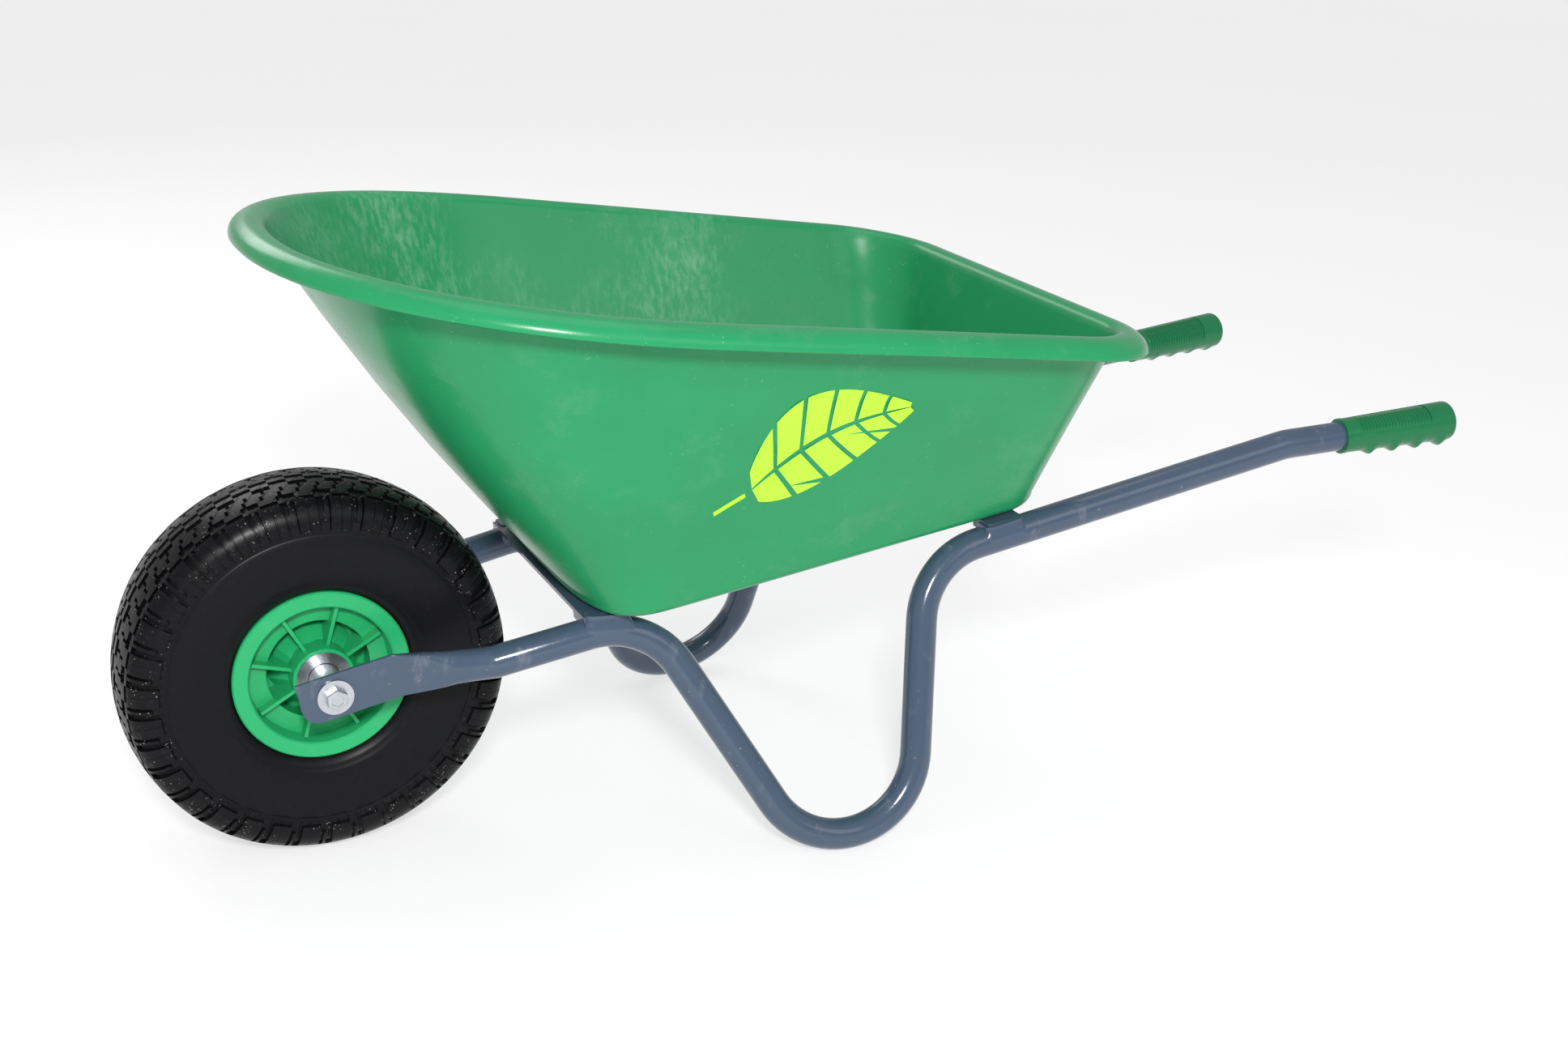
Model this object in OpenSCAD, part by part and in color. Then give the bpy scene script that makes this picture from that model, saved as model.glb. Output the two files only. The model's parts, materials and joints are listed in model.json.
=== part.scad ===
// Garden wheelbarrow: a moulded tray on two bent tube side frames, with one air-filled wheel.
// X runs from the wheel towards the handles, Y to the user's right and Z up.
// The origin is on the ground, at the middle of the whole length and width.

/* [Wheel] */
// Outer diameter of the tyre
tyre_d = 260; // [216:1:312]
// Width of the tyre over its shoulders
tyre_w = 85; // [80:1:102]
// Thickness of the tyre under the tread
tread_t = 7; // [5:0.5:10]
// Thickness of the tyre's side
tyre_side_t = 6.5; // [5:0.5:8]
// Diameter of the wheel centre where the tyre sits
seat_d = 102; // [96:1:110]
// Height of the wheel centre's flanges over that seat
flange_up = 8.5; // [7:0.5:10]
// Width of the wheel centre over its flanges
rim_w = 66; // [60:1:72]
// Wall of the wheel centre's barrel
barrel_t = 2; // [2:0.5:3]
// Number of ribs on each side of the wheel centre
rib_count = 8; // [6:1:10]
// Thickness of a rib
rib_t = 2.4; // [2:0.1:4]
// Number of screws that join the two halves
rim_screw_count = 4; // [3:1:6]
// Shank diameter of a rim screw
rim_screw_d = 4; // [3:0.5:5]
// Diameter of the valve stem
valve_d = 6; // [5:0.5:8]

/* [Axle and bearings] */
// Outer diameter of a bearing
bearing_d = 35; // [32:1:42]
// Width of a bearing
bearing_w = 11; // [9:1:12]
// Diameter of a bearing ball
ball_d = 5.6; // [4.6:0.2:6]
// Number of balls in a bearing
ball_count = 8; // [6:1:8]
// Outer diameter of the sleeve on the axle bolt
sleeve_d = 15; // [14:0.5:16]
// Outer diameter of the spacers beside the bearings
spacer_d = 21; // [19:0.5:22]
// Diameter of the axle bolt
axle_d = 8; // [6:1:10]
// Width across the flats of the axle bolt's head
axle_head_w = 13; // [12:1:17]
// Outer diameter of the axle washers
axle_washer_d = 24; // [20:1:28]
// Gap between the flattened ends of the side frames
fork_gap = 130; // [120:2:156]

/* [Side frames] */
// Diameter of the frame tube
tube_d = 22; // [18.4:0.2:26.4]
// Wall of the frame tube
tube_t = 1.5; // [1:0.1:2]
// Width of the flattened end
flat_w = 31; // [29:1:34]
// Thickness of the flattened end
flat_t = 3; // [2.5:0.5:4]
// Length of the flattened end in front of the axle
flat_front = 23; // [19:1:28]
// Length of the flattened end behind the axle
flat_len = 40; // [34:1:46]
// Rounding of the flattened end's lower corner
flat_corner_r = 11; // [6:1:14]
// Length from the axle to the start of the round tube
round_start = 96; // [90:1:110]
// Lean of a side frame's plane, in degrees
lean = 16.8; // [12:0.2:20]
// Splay of a side frame's plane towards the handles, in degrees
splay = 7; // [5:0.5:9]
// Half the distance between the side frames on the ground below the axle
half_track = 123; // [118:1:130]
// Distance from the tyre to the front bend's centre
tyre_to_bend = 42; // [38:1:56]
// Height of the front bend's centre over the axle, along the leaning plane
front_bend_up = -24.8; // [-30:0.2:-20]
// Distance from the front bend's centre to the leg bend's centre
leg_back = 160; // [148:1:176]
// Distance from the front bend's centre to the rear bend's centre
bend_gap = 285; // [272:1:342]
// Height of the rear bend's centre over the axle, along the leaning plane
rear_bend_up = 14.2; // [8:0.2:20]
// Centreline radius of the tube bends
bend_r = 58; // [50:1:64]
// Distance from the rear bend's centre to the handle bend's centre
handle_back = 249; // [225:1:300]
// Height of the handle bend's centre over the axle, along the leaning plane
handle_bend_up = 68.2; // [62:0.2:76]
// Length of the tube after the handle bend
handle_len = 134; // [124:1:150]
// Slope of the handle's end, in degrees
handle_slope = 4; // [2:0.5:8]

/* [Straps and tray bolts] */
// Thickness of the cross straps
strap_t = 3; // [2.5:0.5:5]
// Length of the front strap along the tray
front_strap_len = 37; // [30:1:44]
// Length of the rear strap along the tray
rear_strap_len = 28; // [24:1:36]
// Depth of the welded pad under each strap's end
pad_t = 5; // [4:0.5:7]
// Diameter of the tray bolts
tray_bolt_d = 6; // [5:1:8]
// Distance between the two bolts of a strap
tray_bolt_gap = 110; // [92:2:132]

/* [Tray] */
// Half the width of the rim at the nose
nose_w = 222; // [210:1:235]
// Length of the rim's rounded nose
nose_len = 232; // [215:1:245]
// Reach of the nose in front of the floor
nose_reach = 196; // [180:1:210]
// Half the width of the rim at the rear
tail_w = 209; // [195:1:220]
// Reach of the rim's rear edge behind the floor
tail_reach = 46; // [38:1:56]
// Corner radius of the rim at the rear
tail_r = 80; // [60:1:95]
// Height of the rim at the nose over the floor's front edge
nose_up = 245.0; // [220:1:270]
// Height of the rim at the rear over the floor's rear edge
tail_up = 129.6; // [110:1:160]
// Half the width of the floor at the front
floor_front_w = 128; // [118:1:138]
// Half the width of the floor at the rear
floor_rear_w = 118; // [108:1:128]
// Distance from the floor's front edge to the front bend's centre
floor_before = 11; // [4:1:20]
// Distance from the rear bend's centre to the floor's rear edge
floor_after = 50; // [42:1:56]
// Length of the floor's rounded front
floor_nose_len = 58; // [48:1:90]
// Corner radius of the floor at the rear
floor_tail_r = 34; // [24:1:45]
// Radius where the walls meet the floor
floor_edge_r = 8; // [6:1:14]
// Thickness of the tray
tray_t = 3; // [2.5:0.1:4]
// Width of the rolled rim
lip_w = 22; // [18:1:28]
// Distance from the rim's outer edge to its crest
crest_in = 16; // [12:1:18]
// Height of the rim's crest above its outer edge
crest_up = 6; // [3:0.5:8]
// Depth of the rim's outer edge
lip_drop = 7; // [6:0.5:12]

/* [Grips] */
// Length of a grip
grip_len = 91; // [76:1:110]
// Thickness of a grip's wall at its front
grip_front_t = 2; // [1.5:0.5:3]
// Thickness of a grip's wall at its end
grip_end_t = 4; // [3.5:0.5:6]
// Thickness of a grip's closed end
grip_cap_t = 5; // [3:0.5:8]
// Number of rings on a grip
grip_rings = 22; // [12:1:24]

/* [Fits] */
// Radial gap between the bearing balls and their races
ball_gap = 0.06; // [0.04:0.01:0.1]
// Radial gap around a bolt in its hole
bolt_gap = 0.25; // [0.2:0.05:0.5]
// Gap between the inner tube and the tyre
tube_gap = 0.4; // [0.3:0.1:1]

/* [Hidden] */
$fn = 64;

tyre_r = tyre_d / 2;
seat_r = seat_d / 2;
flange_r = seat_r + flange_up;
tube_r = tube_d / 2;
thin = 0.02;                         // thickness of a helper slice
through = 400;                       // longer than any cut

// Wheel centre, measured outwards from the middle of the wheel
flange_y = rim_w / 2;                // outer face of the flange
flange_t = 3.5;
rim_round = 1;                       // chamfer of the flange's edges
flange_slope = 1;                    // the flange's inner face leans out by this much
bead_y = flange_y - flange_t - flange_slope;
dish_r = flange_r - 10;              // inner edge of the flange's flat face
barrel_in_r = seat_r - barrel_t - 2;
shelf_y = flange_y - 13;             // ring-shaped shelf inside the barrel
shelf_t = 3;
shelf_in_r = barrel_in_r - 12;
web_t = 3.5;
boss_y = flange_y + 3;
boss_r = bearing_d / 2 + 3;
bearing_r = bearing_d / 2;
bearing_seat_y = boss_y - bearing_w;
hub_bore_r = spacer_d / 2 + 1.5;
rib_turn = 30;                       // angle of the first rib above the X axis
screw_circle_r = (shelf_in_r + barrel_in_r) / 2;
screw_head_r = rim_screw_d;
screw_head_t = 3;
screw_slot_len = screw_head_r * 1.2; // cross slot in a rim screw's head
screw_slot_w = 1;
screw_tip_gap = 4;                   // a rim screw ends this far before the other half's shelf
screw_turn = 180 / rib_count - rib_turn;
screw_reach = shelf_y - 2;           // depth of a rim screw's hole in each half
valve_turn = screw_turn + 180 / rim_screw_count;

// Bearings and axle
ball_r = ball_d / 2;
race_t = (bearing_d - sleeve_d) / 2; // radial room for both races
ball_circle_r = sleeve_d / 2 + race_t / 2;
race_gap = 2.2;                      // half the open gap between the races
cage_t = 0.7;
cage_w = ball_d * 0.55;
cover_t = 1;
cover_gap = 0.4;
bearing_y = bearing_seat_y + bearing_w / 2;
flat_y = (fork_gap + flat_t) / 2;    // middle of a flattened end
axle_washer_t = 1.8;
axle_head_t = 5.5;
axle_nut_t = 6.5;
axle_tail = 5;                       // bolt end beyond the nut

// Route of a side frame's centreline in its leaning plane: [centre, radius, turn], turn -1 is clockwise
axle_h = tyre_r / cos(lean);
leg_h = tube_r / cos(lean) + bend_r;
front_bend_x = tyre_r + tyre_to_bend;
rear_bend_x = front_bend_x + bend_gap;
bends = [[[0, axle_h], 0, 1],
         [[front_bend_x, axle_h + front_bend_up], bend_r, -1],
         [[front_bend_x + leg_back, leg_h], bend_r, 1],
         [[rear_bend_x, axle_h + rear_bend_up], bend_r, -1],
         [[rear_bend_x + handle_back, axle_h + handle_bend_up], bend_r, -1]];
last = len(bends) - 1;
// Direction of the straight run from circle a to circle b
function run_angle(a, b) =
    let (d = b[0] - a[0])
    atan2(d[1], d[0]) - asin((b[2] * b[1] - a[2] * a[1]) / norm(d));
run_angles = [for (i = [0:last]) i < last ? run_angle(bends[i], bends[i + 1]) : handle_slope];
// Point where a run of the given angle touches circle c
function touch(c, angle) = c[0] + c[2] * c[1] * [sin(angle), -cos(angle)];
arm_slope = run_angles[0];
round_from = [round_start, axle_h + round_start * tan(arm_slope)];
handle_start = touch(bends[last], handle_slope);
// A point of the leaning plane in space, on the right side, from the ground below the axle
function in_space(p) = [p[0] * cos(splay) + p[1] * sin(lean) * sin(splay),
                        half_track + p[0] * sin(splay) - p[1] * sin(lean) * cos(splay),
                        p[1] * cos(lean)];
bend_thinning = 0.15;                // a bent tube is this much thinner, on its radius
bend_overlap = 1;                    // a straight run reaches this far over the start of a bend
handle_dir = [cos(handle_slope), sin(handle_slope)];
handle_x_cos = in_space(handle_dir)[0] - in_space([0, 0])[0];
grip_end_r = tube_r + grip_end_t;
grip_round = 3;
grip_end = in_space(handle_start + (handle_len + grip_cap_t - grip_round) * handle_dir);
grip_reach = grip_end[0] + (grip_end_r - grip_round) * sqrt(1 - pow(handle_x_cos, 2)) + grip_round;
mid_x = (grip_reach - tyre_r) / 2;   // half way along the whole wheelbarrow

// The tray's floor rests on the straps, which rest on the front and rear bends
front_mid = in_space(bends[1][0]);
rear_mid = in_space(bends[3][0]);
floor_slope = (rear_mid[2] - front_mid[2]) / (rear_mid[0] - front_mid[0]);
floor_angle = atan(floor_slope);
strap_seat = 0.4;                    // gap between a strap and the highest point of the tube
floor_h0 = front_mid[2] - floor_slope * front_mid[0]
         + (bend_r * cos(lean) + tube_r + strap_t) / cos(floor_angle) + strap_seat;
function floor_h(x) = floor_h0 + floor_slope * x;
front_strap_x = front_mid[0] - (bend_r + tube_r) * sin(floor_angle) + 12;
rear_strap_x = rear_mid[0] + 8;
strap_over = 6;                      // a strap ends this far outside the tube's centreline
pad_w = tube_d;
tray_bolt_back = 3;                  // the bolts stand this far behind the straps' middle
tray_bolts_at = [for (x = [front_strap_x, rear_strap_x], s = [-1, 1])
    [x + tray_bolt_back, s * tray_bolt_gap / 2]];
tray_washer_r = tray_bolt_d * 1.25;
tray_washer_t = 1.2;
tray_nut_t = tray_bolt_d * 0.8;
tray_head_t = tray_bolt_d * 0.55;
tray_hex_w = tray_bolt_d * 1.67;     // width across the flats of the bolts' heads and nuts
tray_bolt_tail = 3;                  // bolt end beyond the nut

// Rim and floor of the tray, as distances behind the axle and heights
floor_front_x = front_bend_x - floor_before;
floor_rear_x = rear_bend_x + floor_after;
nose_x = floor_front_x - nose_reach;
tail_x = floor_rear_x + tail_reach;
nose_h = floor_h(floor_front_x) + nose_up;
tail_h = floor_h(floor_rear_x) + tail_up;
rim_slope = (tail_h - nose_h) / (tail_x - nose_x);
function rim_h(x) = nose_h + rim_slope * (x - nose_x);

// Colours
green = [0.20, 0.55, 0.33];
hub_green = [0.16, 0.62, 0.32];
grip_green = [0.07, 0.36, 0.20];
slate = [0.33, 0.38, 0.47];
zinc = [0.78, 0.79, 0.80];
black = [0.07, 0.07, 0.08];

// Everything is drawn from the ground below the axle and then moved to the middle
module seat() { translate([-mid_x, 0, 0]) children(); }
// Local Z becomes the axle's direction, from the wheel's middle to the right
module on_axle() { seat() translate([0, 0, tyre_r]) rotate([-90, 0, 0]) children(); }
module right_side() { on_axle() children(); }
module left_side() { seat() mirror([0, 1, 0]) translate([0, 0, tyre_r]) rotate([-90, 0, 0]) children(); }
// A ring with its lower face at height 0
module ring(outer_r, inner_r, height) {
    difference() {
        cylinder(r = outer_r, h = height);
        translate([0, 0, -1]) cylinder(r = inner_r, h = height + 2);
    }
}
module hexagon(width, height) { cylinder(d = width / cos(30), h = height, $fn = 6); }

// Tyre: half outline from the bead to the crown, as [radius, distance from the middle]
side_y = tyre_w / 2 - 3;
shoulder_r = tyre_r - 20;
step_r = tyre_r - 27;
crown_y = tyre_w * 0.31;
tyre_half = concat(
    [[seat_r, bead_y - 7], [seat_r, bead_y - flange_slope]],
    [for (t = [0:15:90]) [tyre_r - 38 - (tyre_r - 38 - flange_r) * cos(t),
                          bead_y + (side_y - bead_y) * sin(t)]],
    [[step_r, side_y - 1], [step_r + 1.5, side_y + 1]],
    [for (t = [0:15:90]) [shoulder_r + (tyre_r - 3 - shoulder_r) * sin(t),
                          crown_y + (tyre_w / 2 - crown_y) * cos(t)]],
    [for (t = [0.8, 0.5, 0.25]) [tyre_r - 3 * t * t, crown_y * t]]);
tyre_room_r = (tyre_r - tread_t - seat_r - 0.6) / 2;
tyre_room_mid = seat_r + 0.6 + tyre_room_r;
tyre_room_y = side_y - tyre_side_t;
module tyre_room(inset) {
    polygon([for (t = [0:10:350]) [tyre_room_mid + (tyre_room_r - inset) * cos(t),
                                   (tyre_room_y - inset) * sin(t)]]);
}
module tyre() {
    color(black) on_axle() rotate_extrude($fn = 128) difference() {
        polygon(concat(tyre_half, [[tyre_r, 0]],
                       [for (i = [len(tyre_half) - 1:-1:0]) [tyre_half[i][0], -tyre_half[i][1]]]));
        tyre_room(0);
        translate([seat_r - 1, 7 - bead_y]) square([8, 2 * (bead_y - 7)]);
    }
}
module inner_tube() {
    color(black) on_axle() difference() {
        rotate_extrude($fn = 128) difference() {
            tyre_room(tube_gap);
            tyre_room(tube_gap + 2);
        }
        valve_line() cylinder(d = valve_d, h = through, center = true);
    }
}

// The valve stem leans from the inner tube through the barrel to the right
valve_foot = [seat_r + 3.2, shelf_y - 5.5];
valve_angle = 52;                    // from the wheel's axis
valve_len = 27;
module valve_line() {
    rotate([0, 0, valve_turn]) translate([valve_foot[0], 0, valve_foot[1]]) rotate([0, -valve_angle, 0])
        children();
}
module valve_stem() {
    color(black) on_axle() valve_line() union() {
        cylinder(d = valve_d, h = valve_len - 6);
        cylinder(d = valve_d - 1.5, h = valve_len);
    }
}
module valve_cap() {
    color(black) on_axle() valve_line() translate([0, 0, valve_len - 6]) difference() {
        cylinder(d = valve_d + 2, h = 8.5);
        translate([0, 0, -1]) cylinder(d = valve_d - 1.5, h = 7);
    }
}

// One half of the wheel centre, from the middle of the wheel outwards
module rim_half(screw_hole_r) {
    difference() {
        union() {
            rotate_extrude($fn = 128) difference() {
                polygon([[hub_bore_r, 0], [seat_r, 0], [seat_r, bead_y - flange_slope],
                         [flange_r, flange_y - flange_t], [flange_r, flange_y - rim_round],
                         [flange_r - rim_round, flange_y], [dish_r, flange_y],
                         [dish_r - rim_round, flange_y - rim_round],
                         [barrel_in_r, shelf_y], [shelf_in_r, shelf_y],
                         [shelf_in_r, web_t], [boss_r, web_t], [boss_r, boss_y], [bearing_r, boss_y],
                         [bearing_r, bearing_seat_y], [hub_bore_r, bearing_seat_y]]);
                translate([shelf_in_r + web_t, -1])
                    square([seat_r - barrel_t - shelf_in_r - web_t, shelf_y - shelf_t + 1]);
            }
            difference() {
                for (k = [0:rib_count - 1]) rotate([0, 0, k * 360 / rib_count - rib_turn])
                    translate([boss_r - 1, -rib_t / 2, web_t - 1])
                        cube([barrel_in_r + 1 - boss_r, rib_t, flange_y - web_t - 4]);
                cylinder(r = boss_r - 0.5, h = through, center = true);
            }
            for (k = [0:rim_screw_count - 1]) rotate([0, 0, k * 360 / rim_screw_count + screw_turn])
                translate([screw_circle_r, 0, 0]) cylinder(r = rim_screw_d / 2 + 2.2, h = shelf_y - 1);
        }
        for (k = [0:rim_screw_count - 1]) rotate([0, 0, k * 360 / rim_screw_count + screw_turn])
            translate([screw_circle_r, 0, -1]) cylinder(r = screw_hole_r, h = screw_reach);
    }
}
module rim_left() {
    color(hub_green) left_side() rim_half(rim_screw_d / 2);
}
module rim_right() {
    color(hub_green) right_side() difference() {
        rim_half(rim_screw_d / 2 + bolt_gap);
        for (k = [0:rim_screw_count - 1]) rotate([0, 0, k * 360 / rim_screw_count + screw_turn])
            translate([screw_circle_r, 0, 0]) cylinder(r = rim_screw_d / 2 + bolt_gap, h = through);
        valve_line() cylinder(d = valve_d + 2 * bolt_gap, h = through, center = true);
    }
}
module rim_screws() {
    color(zinc) right_side()
        for (k = [0:rim_screw_count - 1]) rotate([0, 0, k * 360 / rim_screw_count + screw_turn])
            translate([screw_circle_r, 0, 0]) difference() {
                union() {
                    translate([0, 0, screw_tip_gap - shelf_y])
                        cylinder(d = rim_screw_d, h = 2 * shelf_y - screw_tip_gap + thin);
                    translate([0, 0, shelf_y]) cylinder(r = screw_head_r, h = screw_head_t);
                }
                for (a = [0, 90]) rotate([0, 0, a]) translate([0, 0, shelf_y + 1 + through / 2])
                    cube([screw_slot_len, screw_slot_w, through], center = true);
            }
}

// Bearings: the groove for the balls is cut with the balls' own circle
module groove() {
    rotate_extrude() translate([ball_circle_r, bearing_y]) circle(r = ball_r + ball_gap);
}
module outer_race() {
    difference() {
        translate([0, 0, bearing_seat_y]) ring(bearing_r, ball_circle_r + race_gap, bearing_w);
        groove();
    }
}
module inner_race() {
    difference() {
        translate([0, 0, bearing_seat_y]) ring(ball_circle_r - race_gap, sleeve_d / 2, bearing_w);
        groove();
    }
}
module bearing_cover() {
    translate([0, 0, boss_y]) ring(bearing_r + 0.8, spacer_d / 2 + cover_gap, cover_t);
}
module bearing_balls() {
    for (k = [0:ball_count - 1]) rotate([0, 0, k * 360 / ball_count])
        translate([ball_circle_r, 0, bearing_y]) sphere(r = ball_r);
    translate([0, 0, bearing_y - cage_w / 2])
        ring(ball_circle_r + cage_t / 2, ball_circle_r - cage_t / 2, cage_w);
}
module outer_race_left() { color(zinc) left_side() outer_race(); }
module outer_race_right() { color(zinc) right_side() outer_race(); }
module bearing_cover_left() { color(zinc) left_side() bearing_cover(); }
module bearing_cover_right() { color(zinc) right_side() bearing_cover(); }
module bearing_balls_left() { color(zinc) left_side() bearing_balls(); }
module bearing_balls_right() { color(zinc) right_side() bearing_balls(); }
module inner_race_left() { color(zinc) left_side() inner_race(); }
module inner_race_right() { color(zinc) right_side() inner_race(); }

// Axle: the bolt clamps the flattened ends on the sleeve and spacers
module axle_sleeve() {
    color(zinc) on_axle() translate([0, 0, -fork_gap / 2])
        ring(sleeve_d / 2, axle_d / 2 + bolt_gap, fork_gap);
}
module spacer() {
    translate([0, 0, boss_y]) ring(spacer_d / 2, sleeve_d / 2, fork_gap / 2 - boss_y);
}
module spacer_left() { color(zinc) left_side() spacer(); }
module spacer_right() { color(zinc) right_side() spacer(); }
axle_outer = fork_gap / 2 + flat_t + axle_washer_t;
module axle_bolt() {
    color(zinc) on_axle() {
        translate([0, 0, -axle_outer - thin])
            cylinder(d = axle_d, h = 2 * axle_outer + axle_nut_t + axle_tail + thin);
        translate([0, 0, -axle_outer - axle_head_t]) hexagon(axle_head_w, axle_head_t);
    }
}
module axle_nut() {
    color(zinc) on_axle() translate([0, 0, axle_outer]) difference() {
        hexagon(axle_head_w, axle_nut_t);
        translate([0, 0, -1]) cylinder(d = axle_d, h = axle_nut_t + 2);
    }
}
module axle_washers() {
    color(zinc) on_axle() for (y = [-axle_outer, axle_outer - axle_washer_t])
        translate([0, 0, y]) ring(axle_washer_d / 2, axle_d / 2 + bolt_gap, axle_washer_t);
}

// Side frames: the route is drawn in its own plane, which then leans and splays
module frame_plane() {
    seat() translate([0, half_track, 0]) rotate([lean, 0, splay]) rotate([90, 0, 0]) children();
}
// A round section: the whole tube, or the tube with its bore left open
module section(hollow, shrink) {
    difference() {
        circle(r = tube_r - shrink);
        if (hollow) circle(r = tube_r - tube_t + shrink);
    }
}
module run(from, to, hollow) {
    d = to - from;
    translate([from[0], from[1], 0]) rotate([0, 0, atan2(d[1], d[0])]) rotate([0, 90, 0])
        translate([0, 0, -bend_overlap]) linear_extrude(norm(d) + 2 * bend_overlap) section(hollow, 0);
}
module bend(c, angle_in, angle_out, hollow) {
    sweep = c[2] > 0 ? angle_out - angle_in : angle_in - angle_out;
    first = c[2] > 0 ? angle_in - 90 : angle_out + 90;
    translate([c[0][0], c[0][1], 0]) rotate([0, 0, first])
        rotate_extrude(angle = sweep) translate([c[1], 0]) section(hollow, bend_thinning);
}
module tube_route(hollow) {
    for (i = [0:last - 1])
        run(i == 0 ? round_from : touch(bends[i], run_angles[i]),
            touch(bends[i + 1], run_angles[i]), hollow);
    for (i = [1:last]) bend(bends[i], run_angles[i - 1], run_angles[i], hollow);
    run(handle_start, handle_start + (handle_len - bend_overlap) * handle_dir, hollow);
}
module flat_outline() {
    difference() {
        translate([-flat_front, -flat_w / 2]) square([flat_front + flat_len, flat_w]);
        translate([-flat_front - 1, -flat_w / 2 - 1]) square([flat_corner_r + 1, flat_corner_r + 1]);
    }
    translate([flat_corner_r - flat_front, flat_corner_r - flat_w / 2]) circle(r = flat_corner_r);
}
module at_flat() {
    seat() translate([0, flat_y, tyre_r]) rotate([90, -arm_slope, 0]) translate([0, 0, -flat_t / 2])
        children();
}
module side_frame() {
    inset = bend_thinning;
    difference() {
        union() {
            frame_plane() tube_route(true);
            at_flat() linear_extrude(flat_t) flat_outline();
            hull() {
                at_flat() translate([flat_len - 2, inset - flat_w / 2, inset])
                    cube([1, flat_w - 2 * inset, flat_t - 2 * inset]);
                frame_plane() translate([round_from[0], round_from[1], 0]) rotate([0, 0, arm_slope])
                    rotate([0, 90, 0]) cylinder(r = tube_r - inset, h = 0.5, $fn = 48);
            }
        }
        on_axle() cylinder(r = axle_d / 2 + bolt_gap, h = through, center = true);
    }
}
module side_frame_right() { color(slate) side_frame(); }
module side_frame_left() { color(slate) mirror([0, 1, 0]) side_frame(); }

// Cross straps lie flat under the tray, and a pad at each end is shaped to the tube that it is welded on
module at_floor(x) {
    seat() translate([x, 0, floor_h(x)]) rotate([0, -floor_angle, 0]) children();
}
module strap(x, length) {
    half = in_space([x, floor_h(x)])[1] + strap_over;
    difference() {
        at_floor(x) {
            translate([-length / 2, -half, -strap_t]) cube([length, 2 * half, strap_t]);
            for (s = [-1, 1])
                translate([-length / 2, s * (half - pad_w / 2) - pad_w / 2, -strap_t - pad_t])
                    cube([length, pad_w, pad_t + thin]);
        }
        frame_plane() tube_route(false);
        mirror([0, 1, 0]) frame_plane() tube_route(false);
        at_tray_bolts() cylinder(r = tray_bolt_d / 2 + bolt_gap, h = through, center = true);
    }
}
module front_strap() { color(slate) strap(front_strap_x, front_strap_len); }
module rear_strap() { color(slate) strap(rear_strap_x, rear_strap_len); }

// Tray: closed rings of points from the middle of the floor outwards, over the rim and back inside
nose_n = 21;                         // points on the nose
tail_n = 8;                          // points on each rear corner
floor_e = 0.55;                      // squareness of the floor's front
rim_e = 0.913;                       // squareness of the rim's nose
function power(v, e) = sign(v) * pow(abs(v), e);
// The tray's outline at a height from 0, the floor, to 1, the rim, drawn in by inset
function outline(level, inset) =
    let (w1 = floor_front_w + (nose_w - floor_front_w) * level - inset,
         w2 = floor_rear_w + (tail_w - floor_rear_w) * level - inset,
         x1 = floor_front_x + (nose_x - floor_front_x) * level + inset,
         x2 = floor_rear_x + (tail_x - floor_rear_x) * level - inset,
         a = floor_nose_len + (nose_len - floor_nose_len) * level - inset,
         r = max(floor_tail_r + (tail_r - floor_tail_r) * level - inset, 2),
         e = floor_e + (rim_e - floor_e) * level)
    concat([for (i = [0:nose_n - 1]) let (t = -90 + 180 * i / (nose_n - 1))
                [x1 + a - a * power(cos(t), e), -w1 * power(sin(t), e)]],
           [for (i = [0:tail_n - 1]) let (t = -90 + 90 * i / (tail_n - 1))
                [x2 - r + r * cos(t), -w2 + r + r * sin(t)]],
           [for (i = [0:tail_n - 1]) let (t = 90 * i / (tail_n - 1))
                [x2 - r + r * cos(t), w2 - r + r * sin(t)]]);
// A ring of points: level and inset of its outline, and its height above that level's surface
function tray_ring(level, inset, up) =
    [for (p = outline(level, inset))
        [p[0], p[1], floor_h(p[0]) * (1 - level) + rim_h(p[0]) * level + up]];
lip_r = 4;                           // rounding of the rim's outer edge
crest_r = 9;                         // rounding of the rim's crest
lip_hook = tray_t;                   // the rim's inner side starts this far below its level
edge_out = floor_edge_r;
edge_in = floor_edge_r - tray_t;
tray_rings = concat(
    [for (t = [0:22.5:90]) tray_ring(0, edge_out * (1 - sin(t)), edge_out * (1 - cos(t)))],
    [tray_ring(1, lip_w, -tray_t),
     tray_ring(1, crest_in, crest_up - tray_t),
     tray_ring(1, tray_t, -tray_t),
     tray_ring(1, tray_t, -lip_drop),
     tray_ring(1, 0, -lip_drop)],
    [for (t = [0:30:90]) tray_ring(1, lip_r * (1 - cos(t)), -lip_r * (1 - sin(t)))],
    [for (t = [-20:20:40]) tray_ring(1, crest_in + crest_r * sin(t), crest_up - crest_r * (1 - cos(t)))],
    [tray_ring(1, lip_w + tray_t, -lip_hook)],
    [for (t = [90:-22.5:0]) tray_ring(0, tray_t + edge_in * (1 - sin(t)),
                                              tray_t + edge_in * (1 - cos(t)))]);
module shell(rings) {
    n = len(rings[0]);
    m = len(rings);
    polyhedron(
        points = [for (r = rings, p = r) p],
        faces = concat(
            [[for (i = [0:n - 1]) n - 1 - i]],
            [for (k = [0:m - 2], i = [0:n - 1]) let (j = (i + 1) % n) each
                [[k * n + i, k * n + j, (k + 1) * n + j], [k * n + i, (k + 1) * n + j, (k + 1) * n + i]]],
            [[for (i = [0:n - 1]) (m - 1) * n + i]]));
}
module at_tray_bolts() {
    for (p = tray_bolts_at) at_floor(p[0]) translate([0, p[1], 0]) children();
}
module tray() {
    color(green) difference() {
        seat() shell(tray_rings);
        at_tray_bolts() cylinder(r = tray_bolt_d / 2 + bolt_gap, h = 30, center = true);
    }
}
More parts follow.
